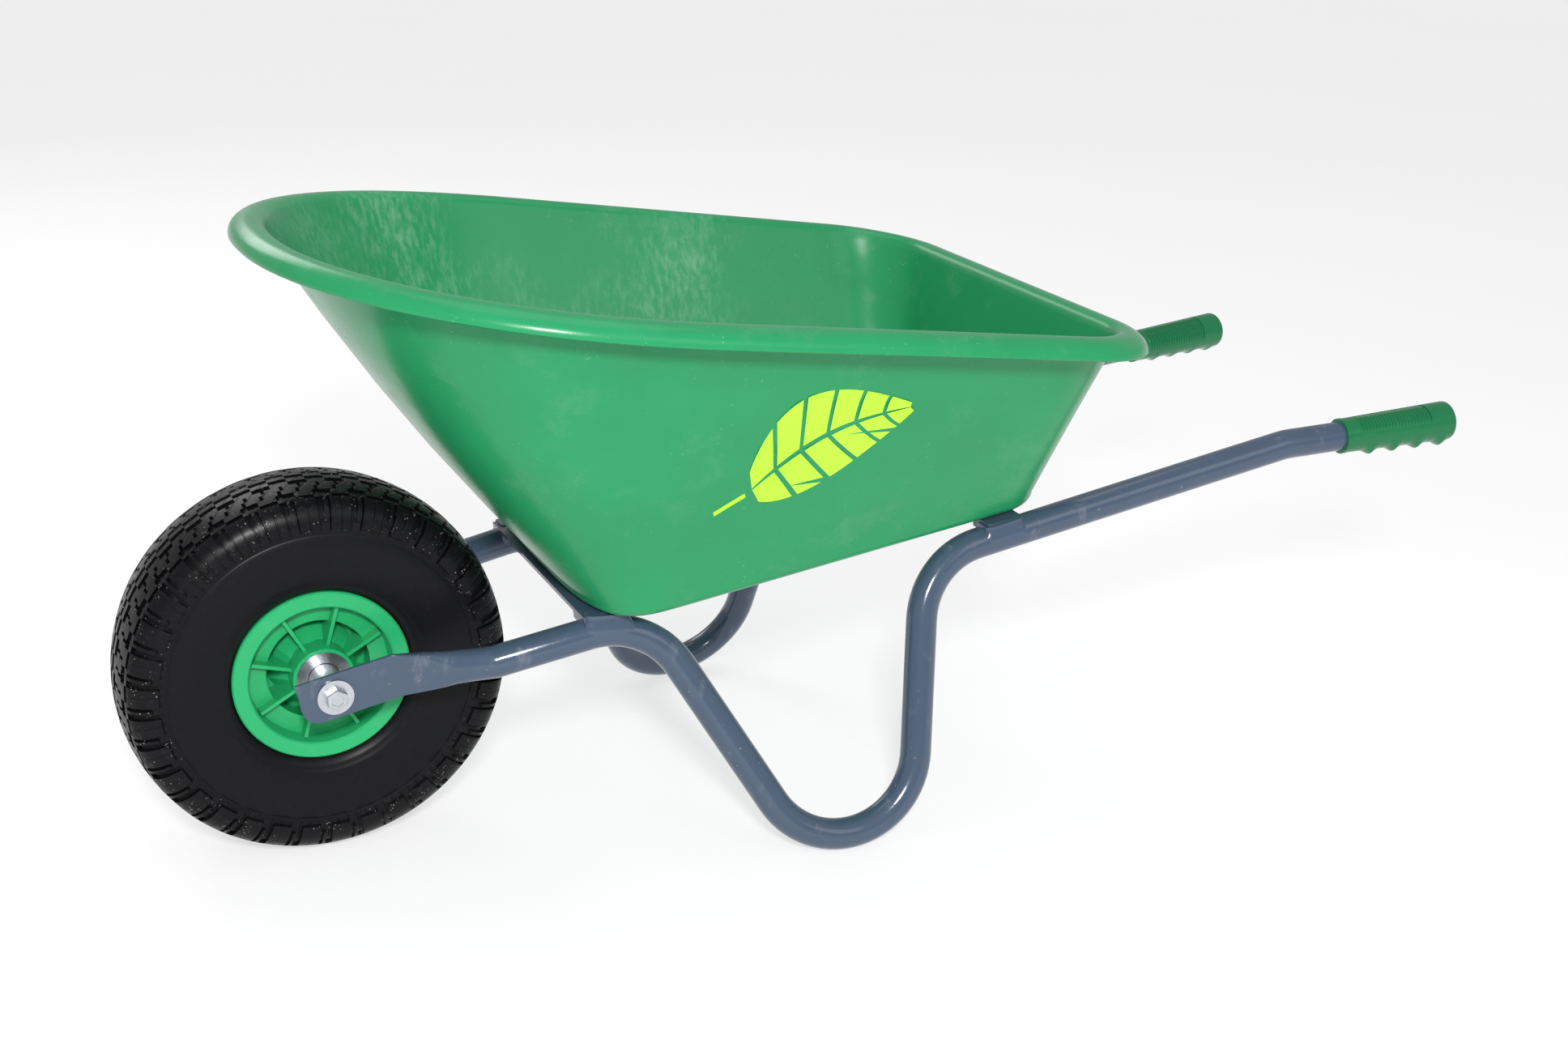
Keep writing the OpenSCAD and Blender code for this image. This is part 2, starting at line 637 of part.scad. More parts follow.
module tray_bolts() {
    color(zinc) at_tray_bolts() {
        below = strap_t + tray_nut_t + tray_bolt_tail;
        above = tray_t + tray_washer_t;
        translate([0, 0, -below]) cylinder(d = tray_bolt_d, h = below + above + thin);
        translate([0, 0, above]) hexagon(tray_hex_w, tray_head_t);
    }
}
module tray_washers() {
    color(zinc) at_tray_bolts() translate([0, 0, tray_t])
        ring(tray_washer_r, tray_bolt_d / 2 + bolt_gap, tray_washer_t);
}
module tray_nuts() {
    color(zinc) at_tray_bolts() translate([0, 0, -strap_t - tray_nut_t]) difference() {
        hexagon(tray_hex_w, tray_nut_t);
        translate([0, 0, -1]) cylinder(d = tray_bolt_d, h = tray_nut_t + 2);
    }
}

// Grips: a sleeve with shallow rings and a closed, rounded end
collar_len = 6;                      // plain stretch at a grip's front
ring_start = 8;
ring_depth = 0.8;
ring_pitch = (grip_len - 2 * ring_start) / grip_rings;
grip_slope = (grip_end_t - grip_front_t) / grip_len;
function grip_r(z) = tube_r + grip_front_t + grip_slope * z;
grip_total = grip_len + grip_cap_t;
module grip() {
    translate([handle_start[0], handle_start[1], 0]) rotate([0, 0, handle_slope])
        rotate([0, 90, 0]) translate([0, 0, handle_len - grip_len])
            rotate_extrude() polygon(concat(
                [[0, grip_len], [tube_r, grip_len], [tube_r, 0], [grip_r(0) - 1, 0], [grip_r(0), 1],
                 [grip_r(0), collar_len]],
                [for (i = [0:grip_rings - 1], s = [0:1])
                    let (z = ring_start + (i + s / 2) * ring_pitch) [grip_r(z) - ring_depth * s, z]],
                [for (t = [0:30:90]) [grip_end_r - grip_round * (1 - cos(t)),
                                      grip_total - grip_round * (1 - sin(t))]],
                [[0, grip_total]]));
}
module grip_right() { color(grip_green) frame_plane() grip(); }
module grip_left() { color(grip_green) mirror([0, 1, 0]) frame_plane() grip(); }

tyre();
inner_tube();
rim_left();
rim_right();
rim_screws();
valve_stem();
valve_cap();
outer_race_left();
outer_race_right();
bearing_cover_left();
bearing_cover_right();
bearing_balls_left();
bearing_balls_right();
inner_race_left();
inner_race_right();
axle_sleeve();
spacer_left();
spacer_right();
axle_bolt();
axle_nut();
axle_washers();
side_frame_left();
side_frame_right();
front_strap();
rear_strap();
tray();
tray_bolts();
tray_washers();
tray_nuts();
grip_left();
grip_right();
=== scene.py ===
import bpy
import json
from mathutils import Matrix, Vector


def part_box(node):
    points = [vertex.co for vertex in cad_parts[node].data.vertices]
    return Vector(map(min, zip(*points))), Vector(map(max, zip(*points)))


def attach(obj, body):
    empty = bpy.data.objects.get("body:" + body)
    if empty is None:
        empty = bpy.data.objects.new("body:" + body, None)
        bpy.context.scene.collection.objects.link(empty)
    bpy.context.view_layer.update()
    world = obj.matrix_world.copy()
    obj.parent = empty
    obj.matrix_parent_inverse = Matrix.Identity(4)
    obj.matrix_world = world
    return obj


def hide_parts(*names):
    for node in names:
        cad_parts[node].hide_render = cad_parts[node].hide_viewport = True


bl_info = {
    "name": "Garden Wheelbarrow",
    "version": (1, 0, 0),
    "blender": (4, 5, 0),
    "location": "3D View > Sidebar > Barrow",
    "description": "Builds a garden wheelbarrow's tray, side frames, grips and tyre around its packed frame",
    "category": "Object",
}

import json
import math

import bmesh
import bpy
from bpy.props import FloatProperty, FloatVectorProperty, IntProperty, PointerProperty
from mathutils import Matrix, Vector

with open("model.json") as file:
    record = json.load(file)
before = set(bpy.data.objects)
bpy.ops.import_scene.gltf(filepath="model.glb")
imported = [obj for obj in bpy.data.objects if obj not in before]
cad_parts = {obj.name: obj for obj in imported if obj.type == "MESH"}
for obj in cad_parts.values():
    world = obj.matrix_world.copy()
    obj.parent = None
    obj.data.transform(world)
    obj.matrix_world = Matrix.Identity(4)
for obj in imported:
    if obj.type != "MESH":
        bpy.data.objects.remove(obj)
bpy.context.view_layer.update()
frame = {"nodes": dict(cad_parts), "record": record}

TYRE_LOW, TYRE_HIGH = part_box("tyre")
AXLE = (TYRE_LOW + TYRE_HIGH) / 2            # middle of the wheel
TYRE_R = (TYRE_HIGH.z - TYRE_LOW.z) / 2
TYRE_HALF = (TYRE_HIGH.y - TYRE_LOW.y) / 2
UP = Vector((0, 0, 1))
ACROSS = Vector((0, 1, 0))
MM = 0.001


# Sizes and colours that a user would change


class WheelSizes(bpy.types.PropertyGroup):
    """Sizes of the tyre and of the wheel centre."""

    seat_r: FloatProperty(name="Seat radius", description="Radius where the tyre sits", default=51 * MM,
                          unit="LENGTH")
    flange_r: FloatProperty(name="Flange radius", description="Outer radius of the flanges", default=59.5 * MM,
                            unit="LENGTH")
    bead_y: FloatProperty(name="Bead", description="Distance of a bead from the middle", default=28.5 * MM,
                          unit="LENGTH")
    side_y: FloatProperty(name="Side", description="Distance of the sidewall from the middle", default=39.5 * MM,
                          unit="LENGTH")
    step_r: FloatProperty(name="Step", description="Radius of the step outside the sidewall", default=103 * MM,
                          unit="LENGTH")
    shoulder_r: FloatProperty(name="Shoulder", description="Radius where the shoulder lugs start", default=106 * MM,
                              unit="LENGTH")
    tread_up: FloatProperty(name="Tread depth", description="Height of the lugs", default=2.6 * MM, unit="LENGTH")
    blocks: IntProperty(name="Blocks", description="Number of tread blocks round the tyre", default=34)
    columns: IntProperty(name="Columns", description="Steps of the mesh in a tread block", default=10)
    rib_turn: FloatProperty(name="Rib angle", description="Angle of the first rib", default=math.radians(30),
                            subtype="ANGLE")


class FrameSizes(bpy.types.PropertyGroup):
    """Route of a side frame in its leaning plane, from the ground below the axle."""

    tube_r: FloatProperty(name="Tube radius", description="Outer radius of the tube", default=11 * MM, unit="LENGTH")
    bend_r: FloatProperty(name="Bend radius", description="Centreline radius of the bends", default=58 * MM,
                          unit="LENGTH")
    lean: FloatProperty(name="Lean", description="Lean of the frame's plane", default=math.radians(16.8),
                        subtype="ANGLE")
    splay: FloatProperty(name="Splay", description="Splay of the frame's plane", default=math.radians(7),
                         subtype="ANGLE")
    half_track: FloatProperty(name="Half track", description="Distance from the middle at the ground",
                              default=123 * MM, unit="LENGTH")
    front_x: FloatProperty(name="Front bend", description="Distance of the front bend behind the axle",
                           default=172 * MM, unit="LENGTH")
    front_h: FloatProperty(name="Front bend height", description="Height of the front bend in the plane",
                           default=111 * MM, unit="LENGTH")
    leg_x: FloatProperty(name="Leg bend", description="Distance of the leg bend behind the axle", default=332 * MM,
                         unit="LENGTH")
    rear_x: FloatProperty(name="Rear bend", description="Distance of the rear bend behind the axle",
                          default=457 * MM, unit="LENGTH")
    rear_h: FloatProperty(name="Rear bend height", description="Height of the rear bend in the plane",
                          default=150 * MM, unit="LENGTH")
    handle_x: FloatProperty(name="Handle bend", description="Distance of the handle bend behind the axle",
                            default=706 * MM, unit="LENGTH")
    handle_h: FloatProperty(name="Handle bend height", description="Height of the handle bend in the plane",
                            default=204 * MM, unit="LENGTH")
    handle_slope: FloatProperty(name="Handle slope", description="Slope of the handle's end",
                                default=math.radians(4), subtype="ANGLE")
    handle_len: FloatProperty(name="Handle length", description="Tube after the handle bend", default=134 * MM,
                              unit="LENGTH")
    flat_y: FloatProperty(name="Flat end", description="Distance of a flattened end from the middle",
                          default=66.5 * MM, unit="LENGTH")
    flat_half: FloatProperty(name="Flat half width", description="Half the width of the flattened end",
                             default=15.5 * MM, unit="LENGTH")
    flat_front: FloatProperty(name="Flat front", description="Flattened end in front of the axle", default=23 * MM,
                              unit="LENGTH")
    flat_back: FloatProperty(name="Flat back", description="Flattened end behind the axle", default=42 * MM,
                             unit="LENGTH")
    flat_half_t: FloatProperty(name="Flat half thickness", description="Half the thickness of the flattened end",
                               default=1.5 * MM, unit="LENGTH")
    round_x: FloatProperty(name="Round start", description="Distance behind the axle where the tube is round",
                           default=96 * MM, unit="LENGTH")


class TraySizes(bpy.types.PropertyGroup):
    """Sizes of the moulded tray."""

    nose_w: FloatProperty(name="Nose half width", description="Half the width of the rim at the nose",
                          default=222 * MM, unit="LENGTH")
    nose_len: FloatProperty(name="Nose length", description="Length of the rim's rounded nose", default=232 * MM,
                            unit="LENGTH")
    tail_w: FloatProperty(name="Tail half width", description="Half the width of the rim at the rear",
                          default=209 * MM, unit="LENGTH")
    tail_r: FloatProperty(name="Tail corner", description="Corner radius of the rim at the rear", default=80 * MM,
                          unit="LENGTH")
    floor_front_w: FloatProperty(name="Floor front", description="Half the width of the floor's front",
                                 default=128 * MM, unit="LENGTH")
    floor_rear_w: FloatProperty(name="Floor rear", description="Half the width of the floor's rear",
                                default=118 * MM, unit="LENGTH")
    floor_x: FloatProperty(name="Floor start", description="Distance of the floor's front behind the axle",
                           default=161 * MM, unit="LENGTH")
    floor_end: FloatProperty(name="Floor end", description="Distance of the floor's rear behind the axle",
                             default=507 * MM, unit="LENGTH")
    floor_nose_len: FloatProperty(name="Floor nose", description="Length of the floor's rounded front",
                                  default=58 * MM, unit="LENGTH")
    floor_tail_r: FloatProperty(name="Floor corner", description="Corner radius of the floor at the rear",
                                default=34 * MM, unit="LENGTH")
    floor_edge_r: FloatProperty(name="Floor edge", description="Rounding between the walls and the floor",
                                default=8 * MM, unit="LENGTH")
    wall: FloatProperty(name="Wall", description="Thickness of the tray", default=3 * MM, unit="LENGTH")
    lip_w: FloatProperty(name="Rim width", description="Width of the rolled rim", default=22 * MM, unit="LENGTH")
    crest_in: FloatProperty(name="Crest", description="Distance from the outer edge to the crest", default=16 * MM,
                            unit="LENGTH")
    crest_up: FloatProperty(name="Crest height", description="Height of the crest over the outer edge",
                            default=6 * MM, unit="LENGTH")
    crest_r: FloatProperty(name="Crest radius", description="Rounding from the crest down into the tray",
                           default=9 * MM, unit="LENGTH")
    lip_drop: FloatProperty(name="Rim depth", description="Depth of the rim's outer edge", default=7 * MM,
                            unit="LENGTH")
    rim_slope: FloatProperty(name="Rim slope", description="Rise of the rim for each metre towards the handles",
                             default=-0.118969)
    floor_power: FloatProperty(name="Floor curve", description="Power of the curve of the floor's rounded front",
                               default=0.55)
    rim_power: FloatProperty(name="Rim curve", description="Power of the curve of the rim's rounded nose",
                             default=0.913)


class StickerSizes(bpy.types.PropertyGroup):
    """Size and place of the leaf sticker on the left wall."""

    behind_axle: FloatProperty(name="Behind the axle", description="Distance of its middle behind the axle",
                               default=306 * MM, unit="LENGTH")
    level: FloatProperty(name="Level", description="Its middle's place between the floor, 0, and the rim, 1",
                         default=0.55)
    length: FloatProperty(name="Length", description="Length of the leaf", default=125 * MM, unit="LENGTH")
    width: FloatProperty(name="Width", description="Width of the leaf", default=75 * MM, unit="LENGTH")
    tilt: FloatProperty(name="Tilt", description="Angle of the midrib over the horizontal",
                        default=math.radians(28), subtype="ANGLE")
    veins: IntProperty(name="Veins", description="Number of fields on each side of the midrib", default=6)


class GripSizes(bpy.types.PropertyGroup):
    """Sizes of the grips."""

    length: FloatProperty(name="Length", description="Length of a grip on its tube", default=91 * MM, unit="LENGTH")
    front_r: FloatProperty(name="Front radius", description="Radius at the front", default=13 * MM, unit="LENGTH")
    end_r: FloatProperty(name="End radius", description="Radius at the closed end", default=15 * MM, unit="LENGTH")
    cap: FloatProperty(name="Cap", description="Thickness of the closed end", default=5 * MM, unit="LENGTH")
    ridges: IntProperty(name="Ridges", description="Number of ridges on the upper side", default=22)
    fingers: IntProperty(name="Fingers", description="Number of finger bumps below", default=4)


class Finish(bpy.types.PropertyGroup):
    """Colours of the finishes, and the strengths of the lights."""

    tray_green: FloatVectorProperty(name="Tray", description="Green of the tray", subtype="COLOR",
                                    default=(0.016, 0.255, 0.094))
    hub_green: FloatVectorProperty(name="Hub", description="Green of the wheel centre", subtype="COLOR",
                                   default=(0.018, 0.370, 0.130))
    grip_green: FloatVectorProperty(name="Grips", description="Green of the grips", subtype="COLOR",
                                    default=(0.010, 0.150, 0.055))
    slate: FloatVectorProperty(name="Frame", description="Paint of the side frames", subtype="COLOR",
                               default=(0.050, 0.076, 0.122))
    lime: FloatVectorProperty(name="Sticker", description="Lime of the sticker", subtype="COLOR",
                              default=(0.440, 0.900, 0.040))
    rubber: FloatVectorProperty(name="Rubber", description="Black of the tyre", subtype="COLOR",
                                default=(0.005, 0.005, 0.006))
    key_light: FloatProperty(name="Key light", description="Power of the main light in watts", default=34.0)
    sky: FloatProperty(name="Sky", description="Strength of the light from all round", default=0.50)
    lens: FloatProperty(name="Lens", description="Focal length of the camera in millimetres", default=45.72)


GROUPS = {"wheel": WheelSizes, "side": FrameSizes, "tray": TraySizes, "sticker": StickerSizes, "grip": GripSizes,
          "finish": Finish}


def sizes(context, group):
    """One of the groups of sizes, kept on the scene."""
    return getattr(context.scene, "barrow_" + group)


# Shader maths


class Wire:
    """A node's output that takes part in arithmetic, and adds the Math nodes that it needs."""

    def __init__(self, paint, socket):
        self.paint = paint
        self.socket = socket

    def math(self, operation, *values):
        return self.paint.node("ShaderNodeMath", {"operation": operation}, values)

    def __add__(self, other):
        return self.math("ADD", self, other)

    def __sub__(self, other):
        return self.math("SUBTRACT", self, other)

    def __rsub__(self, other):
        return self.math("SUBTRACT", other, self)

    def __mul__(self, other):
        return self.math("MULTIPLY", self, other)

    def __truediv__(self, other):
        return self.math("DIVIDE", self, other)

    def __pow__(self, other):
        return self.math("POWER", self, other)

    __radd__ = __add__
    __rmul__ = __mul__

    def ramp(self, low, high):
        """0 below low and 1 above high, with a smooth change between them."""
        inputs = {"Value": self, "From Min": low, "From Max": high}
        return self.paint.node("ShaderNodeMapRange", {"interpolation_type": "SMOOTHSTEP"}, inputs)

    def wave(self, count):
        """A sine of this value in turns, times count."""
        return self.math("SINE", self * (2 * math.pi * count))


class Paint:
    """A material with one Principled shader. Lengths in patterns are in metres of the piece itself."""

    def __init__(self, name):
        self.material = bpy.data.materials.new(name)
        self.material.use_nodes = True
        self.tree = self.material.node_tree
        self.shader = self.tree.nodes["Principled BSDF"]
        self.place = self.node("ShaderNodeTexCoord", output="Object")

    def node(self, kind, settings=None, inputs=(), output=0):
        """Makes a node: its settings first, then its sockets by name or in order. Gives one output."""
        made = self.tree.nodes.new(kind)
        for key, value in (settings or {}).items():
            setattr(made, key, value)
        pairs = inputs.items() if isinstance(inputs, dict) else enumerate(inputs)
        for key, value in pairs:
            self.feed(made.inputs[key], value)
        return Wire(self, made.outputs[output])

    def feed(self, socket, value):
        if isinstance(value, Wire):
            self.tree.links.new(value.socket, socket)
        else:
            socket.default_value = value

    def axes(self):
        """The X, the Y and the Z of a spot on the piece."""
        spread = self.node("ShaderNodeSeparateXYZ", inputs=(self.place,))
        return [Wire(self, output) for output in spread.socket.node.outputs]

    def noise(self, size, detail=3.0, roughness=0.55, stretch=(1, 1, 1)):
        """Noise whose blots are about size across, drawn out along an axis where stretch is under 1."""
        scaled = self.node("ShaderNodeVectorMath", {"operation": "MULTIPLY"}, (self.place, stretch))
        inputs = {"Vector": scaled, "Scale": 1 / size, "Detail": detail, "Roughness": roughness}
        return self.node("ShaderNodeTexNoise", inputs=inputs)

    def specks(self, size, share):
        """1 in small round specks, which cover about that share of the surface."""
        cell = self.node("ShaderNodeTexVoronoi", inputs={"Vector": self.place, "Scale": 1 / size})
        return 1 - cell.ramp(share * 0.7, share)

    def blend(self, factor, first, second):
        """A colour between two colours."""
        mixed = self.tree.nodes.new("ShaderNodeMix")
        mixed.data_type = "RGBA"
        self.feed(mixed.inputs[0], factor)
        self.feed(mixed.inputs[6], first)
        self.feed(mixed.inputs[7], second)
        return Wire(self, mixed.outputs[2])

    def bump(self, height, depth, normal=None):
        """A normal for height, whose range of 1 stands for depth metres."""
        inputs = {"Height": height, "Distance": depth, "Strength": 1.0}
        if normal is not None:
            inputs["Normal"] = normal
        return self.node("ShaderNodeBump", inputs=inputs)

    def finish(self, **values):
        """Feeds the Principled shader's sockets, whose names have _ for a space, and gives the material."""
        for key, value in values.items():
            self.feed(self.shader.inputs[key.replace("_", " ")], value)
        return self.material


def shade(colour, factor):
    """A colour times a factor, with its alpha."""
    return tuple(min(c * factor, 1.0) for c in colour[:3]) + (1.0,)


# Finishes


def moulded_plastic(name, colour, roughness, scuff_size, wear=1.0, brushed=False):
    """Coloured plastic from a mould, with slight mottling, scuffs and dust. If brushed, its right side is rubbed."""
    paint = Paint(name)
    mottle = paint.noise(60 * MM, 4)
    scuffs = paint.noise(scuff_size, 8, 0.7).ramp(0.52, 0.74)
    dust = paint.specks(5 * MM, 0.14) * paint.noise(40 * MM).ramp(0.5, 0.7)
    tone = paint.blend(mottle, shade(colour, 0.90), shade(colour, 1.12))
    dull = paint.blend(scuffs * (0.06 * wear), tone, (0.50, 0.62, 0.54, 1))
    base = paint.blend(dust * (0.16 * wear), dull, (0.7, 0.72, 0.68, 1))
    rough = roughness + scuffs * 0.10 + mottle * 0.05
    if brushed:
        _, across, _ = paint.axes()
        right_side = across.ramp(-20 * MM, 120 * MM)
        streaks = paint.noise(4 * MM, 5, 0.65, (1, 1, 0.05)).ramp(0.38, 0.74)
        patches = paint.noise(110 * MM, 2, 0.5).ramp(0.40, 0.70)
        rubbed = streaks * patches * right_side
        base = paint.blend(rubbed * 0.30, base, (0.36, 0.60, 0.46, 1))
        rough = rough + rubbed * 0.14
    relief = paint.bump(paint.noise(1.2 * MM, 2), 0.03 * MM)
    waves = paint.bump(paint.noise(45 * MM, 2), 0.5 * MM, relief)
    return paint.finish(Base_Color=base, Roughness=rough, Normal=waves, Specular_IOR_Level=0.3)


def frame_paint(name, colour):
    """Glossy stoved paint on steel: slight orange peel, small chips down to bare steel, and scuffs."""
    paint = Paint(name)
    mottle = paint.noise(35 * MM, 3)
    where = paint.noise(70 * MM, 2).ramp(0.48, 0.62)
    chips = paint.noise(4.5 * MM, 5, 0.65).ramp(0.675, 0.695) * where
    rust = paint.noise(3 * MM, 3).ramp(0.5, 0.62)
    scuffs = paint.noise(14 * MM, 7, 0.7, (1, 1, 0.5)).ramp(0.56, 0.72)
    tone = paint.blend(mottle, shade(colour, 0.92), shade(colour, 1.10))
    worn = paint.blend(scuffs * 0.16, tone, (0.35, 0.37, 0.40, 1))
    bare = paint.blend(rust, (0.42, 0.42, 0.43, 1), (0.20, 0.11, 0.06, 1))
    base = paint.blend(chips, worn, bare)
    peel = paint.bump(paint.noise(2.5 * MM, 2), 0.05 * MM)
    edge = paint.bump(1 - chips, 0.12 * MM, peel)
    return paint.finish(Base_Color=base, Roughness=0.14 + scuffs * 0.16 + chips * 0.25 + mottle * 0.04, Normal=edge,
                        Metallic=chips * 0.6, Coat_Weight=0.25, Coat_Roughness=0.06,
                        Specular_IOR_Level=0.4)


def plated_steel(name, colour, roughness):
    """Zinc plated steel: soft cloudy crystals and faint marks."""
    paint = Paint(name)
    cloud = paint.noise(5 * MM, 4)
    marks = paint.noise(0.8 * MM, 4, 0.7).ramp(0.55, 0.75)
    base = paint.blend(cloud, shade(colour, 0.86), shade(colour, 1.08))
    grime = paint.blend(marks * 0.35, base, (0.30, 0.29, 0.27, 1))
    return paint.finish(Base_Color=grime, Metallic=1.0, Roughness=roughness + cloud * 0.14 + marks * 0.12,
                        Normal=paint.bump(marks + cloud, 0.03 * MM))


def soft_rubber(name, colour, roughness):
    """Plain black rubber with a little dust."""
    paint = Paint(name)
    dust = paint.noise(9 * MM, 6, 0.7).ramp(0.5, 0.8)
    base = paint.blend(dust * 0.10, shade(colour, 1.0), (0.25, 0.24, 0.23, 1))
    return paint.finish(Base_Color=base, Roughness=roughness + dust * 0.2, Specular_IOR_Level=0.25,
                        Normal=paint.bump(paint.noise(0.9 * MM, 3), 0.04 * MM))


def tyre_rubber(name, colour, wheel):
    """The tyre's rubber: a satin side, glossy tread with fine cuts, mould lines and dust in the grooves."""
    paint = Paint(name)
    x, across, z = paint.axes()
    x, z = x - AXLE.x, z - AXLE.z
    radius = (x * x + z * z) ** 0.5
    turn = z.math("ARCTAN2", z, x) / (2 * math.pi)
    tread = radius.ramp(wheel.step_r, wheel.step_r + 2 * MM)
    under_crown = 1 - radius.ramp(TYRE_R - 7 * MM, TYRE_R - 5 * MM)
    cuts = turn.wave(wheel.blocks * 3).ramp(0.80, 0.97) * tread * under_crown
    crown = radius.ramp(TYRE_R - 6 * MM, TYRE_R - 4 * MM)
    slants = (turn * (wheel.blocks * 2) + across * 70).wave(1).ramp(0.86, 0.98) * crown
    hairs = (across * 330).wave(1).ramp(0.88, 0.98) * crown
    rings = (radius * 160).wave(1) * radius.ramp(62 * MM, 66 * MM) * (1 - radius.ramp(68 * MM, 72 * MM))
    dust = paint.noise(5 * MM, 7, 0.75).ramp(0.53, 0.75)
    specks = paint.specks(2.4 * MM, 0.22) * paint.noise(11 * MM, 3).ramp(0.5, 0.62) * tread
    base = paint.blend(dust * 0.02 + tread * dust * 0.03, shade(colour, 1.0), (0.20, 0.19, 0.18, 1))
    grit = paint.blend(specks * 0.5, base, (0.45, 0.43, 0.40, 1))
    fine = paint.bump(paint.noise(0.7 * MM, 3), 0.02 * MM)
    cut = paint.bump(1 - cuts - slants - hairs * 0.5, 0.7 * MM, fine)
    moulded = paint.bump(rings, 0.10 * MM, cut)
    return paint.finish(Base_Color=grit, Roughness=0.36 - tread * 0.06 + dust * 0.12, Normal=moulded,
                        Specular_IOR_Level=0.13)


def finish_node(node, material):
    """Gives a CAD node's material slots a finish."""
    data = frame["nodes"][node].data
    data.materials.clear()
    data.materials.append(material)


# Mesh helpers


def loft(shape, rings):
    """One closed skin through rings of points, made by pushing each ring's edges out to the next."""
    row = bmesh.ops.create_circle(shape, cap_ends=True, segments=len(rings[0]), radius=1)["verts"]
    for vert, point in zip(row, rings[0]):
        vert.co = point
    edges = [e for e in shape.edges if all(v in row for v in e.verts)]
    for ring in rings[1:]:
        made = bmesh.ops.extrude_edge_only(shape, edges=edges)["geom"]
        fresh = {v for v in made if isinstance(v, bmesh.types.BMVert)}
        row = [next(e.other_vert(v) for e in v.link_edges if e.other_vert(v) in fresh) for v in row]
        for vert, point in zip(row, ring):
            vert.co = point
        edges = [e for e in made if isinstance(e, bmesh.types.BMEdge) and set(e.verts) <= fresh]
    bmesh.ops.contextual_create(shape, geom=edges)
    bmesh.ops.recalc_face_normals(shape, faces=shape.faces)


def make_piece(name, shape, body, material, sharp=math.radians(38), replaced=()):
    """Turns a shape into a shaded piece that rides on a body and stands for CAD nodes."""
    for edge in shape.edges:
        edge.smooth = len(edge.link_faces) == 2 and edge.calc_face_angle(0) < sharp
    for face in shape.faces:
        face.smooth = True
    mesh = bpy.data.meshes.new(name)
    shape.to_mesh(mesh)
    shape.free()
    mesh.materials.append(material)
    piece = bpy.data.objects.new(name, mesh)
    bpy.context.scene.collection.objects.link(piece)
    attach(piece, body)
    if replaced:
        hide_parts(*replaced)
    return piece


def to_left(points):
    """Points mirrored to the left side."""
    return [Vector((p.x, -p.y, p.z)) for p in points]


# Tyre


def tyre_profile(wheel):
    """The tyre's outline as (radius, distance from the middle), a half's points, and how many of them are tread."""
    bead_t, side_t, crown_t = 7 * MM, 6.5 * MM, 7 * MM      # thickness of the rubber
    crown_drop = 3 * MM                                     # from the middle of the crown to its edge
    room_gap = 0.6 * MM
    quarter = [math.radians(a) for a in range(0, 91, 10)]
    bulge_r = TYRE_R - 38 * MM
    neck_y = wheel.bead_y - bead_t
    side = [(wheel.seat_r, neck_y), (wheel.seat_r, wheel.bead_y - 1 * MM)]
    side += [(bulge_r - (bulge_r - wheel.flange_r) * math.cos(a),
              wheel.bead_y + (wheel.side_y - wheel.bead_y) * math.sin(a)) for a in quarter]
    side += [(wheel.step_r - 2.5 * MM, wheel.side_y - 0.5 * MM), (wheel.step_r - 1.2 * MM, wheel.side_y - 1.2 * MM),
             (wheel.step_r, wheel.side_y - 0.8 * MM)]
    crown_y = 0.62 * TYRE_HALF
    low_r, low_y = wheel.shoulder_r, TYRE_HALF - wheel.tread_up
    top_r = TYRE_R - wheel.tread_up - crown_drop
    corner = [math.radians(a) for a in range(0, 90, 15)]
    shoulder = [(low_r + (top_r - low_r) * math.sin(a), crown_y + (low_y - crown_y) * math.cos(a)) for a in corner]
    rows = 5
    crown = [(TYRE_R - wheel.tread_up - crown_drop * (i / rows) ** 2, crown_y * i / rows)
             for i in range(rows, 0, -1)]
    half = side + shoulder + crown
    tread = len(shoulder) + len(crown)
    room_r = (TYRE_R - crown_t - wheel.seat_r - room_gap) / 2
    room_mid = wheel.seat_r + room_gap + room_r
    room_y = wheel.side_y - side_t
    room = [(room_mid + room_r * math.cos(math.radians(a)), room_y * math.sin(math.radians(a)))
            for a in range(-140, 141, 20)]
    inside = [(wheel.seat_r + bead_t, -neck_y)] + room + [(wheel.seat_r + bead_t, neck_y)]
    mirrored = [(r, -y) for r, y in reversed(half)]
    return half + [(TYRE_R - wheel.tread_up, 0.0)] + mirrored + inside, len(half), tread


LUG_ROWS = 5                        # rows of a shoulder lug, from the tread's edge
GROOVES = ((5, 6), (9, 10))         # the two rows that each groove zigzags between


def tread_is_up(row, rows, column, columns):
    """Whether a cell of the tread stands up: lugs on the shoulders, zigzag grooves and slanted blocks between."""
    from_side = min(row, rows - 1 - row)
    if row >= rows / 2:
        column = (column + columns // 2) % columns
    zig = int(column >= columns / 2)
    if from_side < LUG_ROWS:
        return column < 6 or (column == 7 and 0 < from_side)
    for groove in GROOVES:
        if from_side in groove:
            return from_side != groove[zig]
    return (column + from_side) % 5 != 0


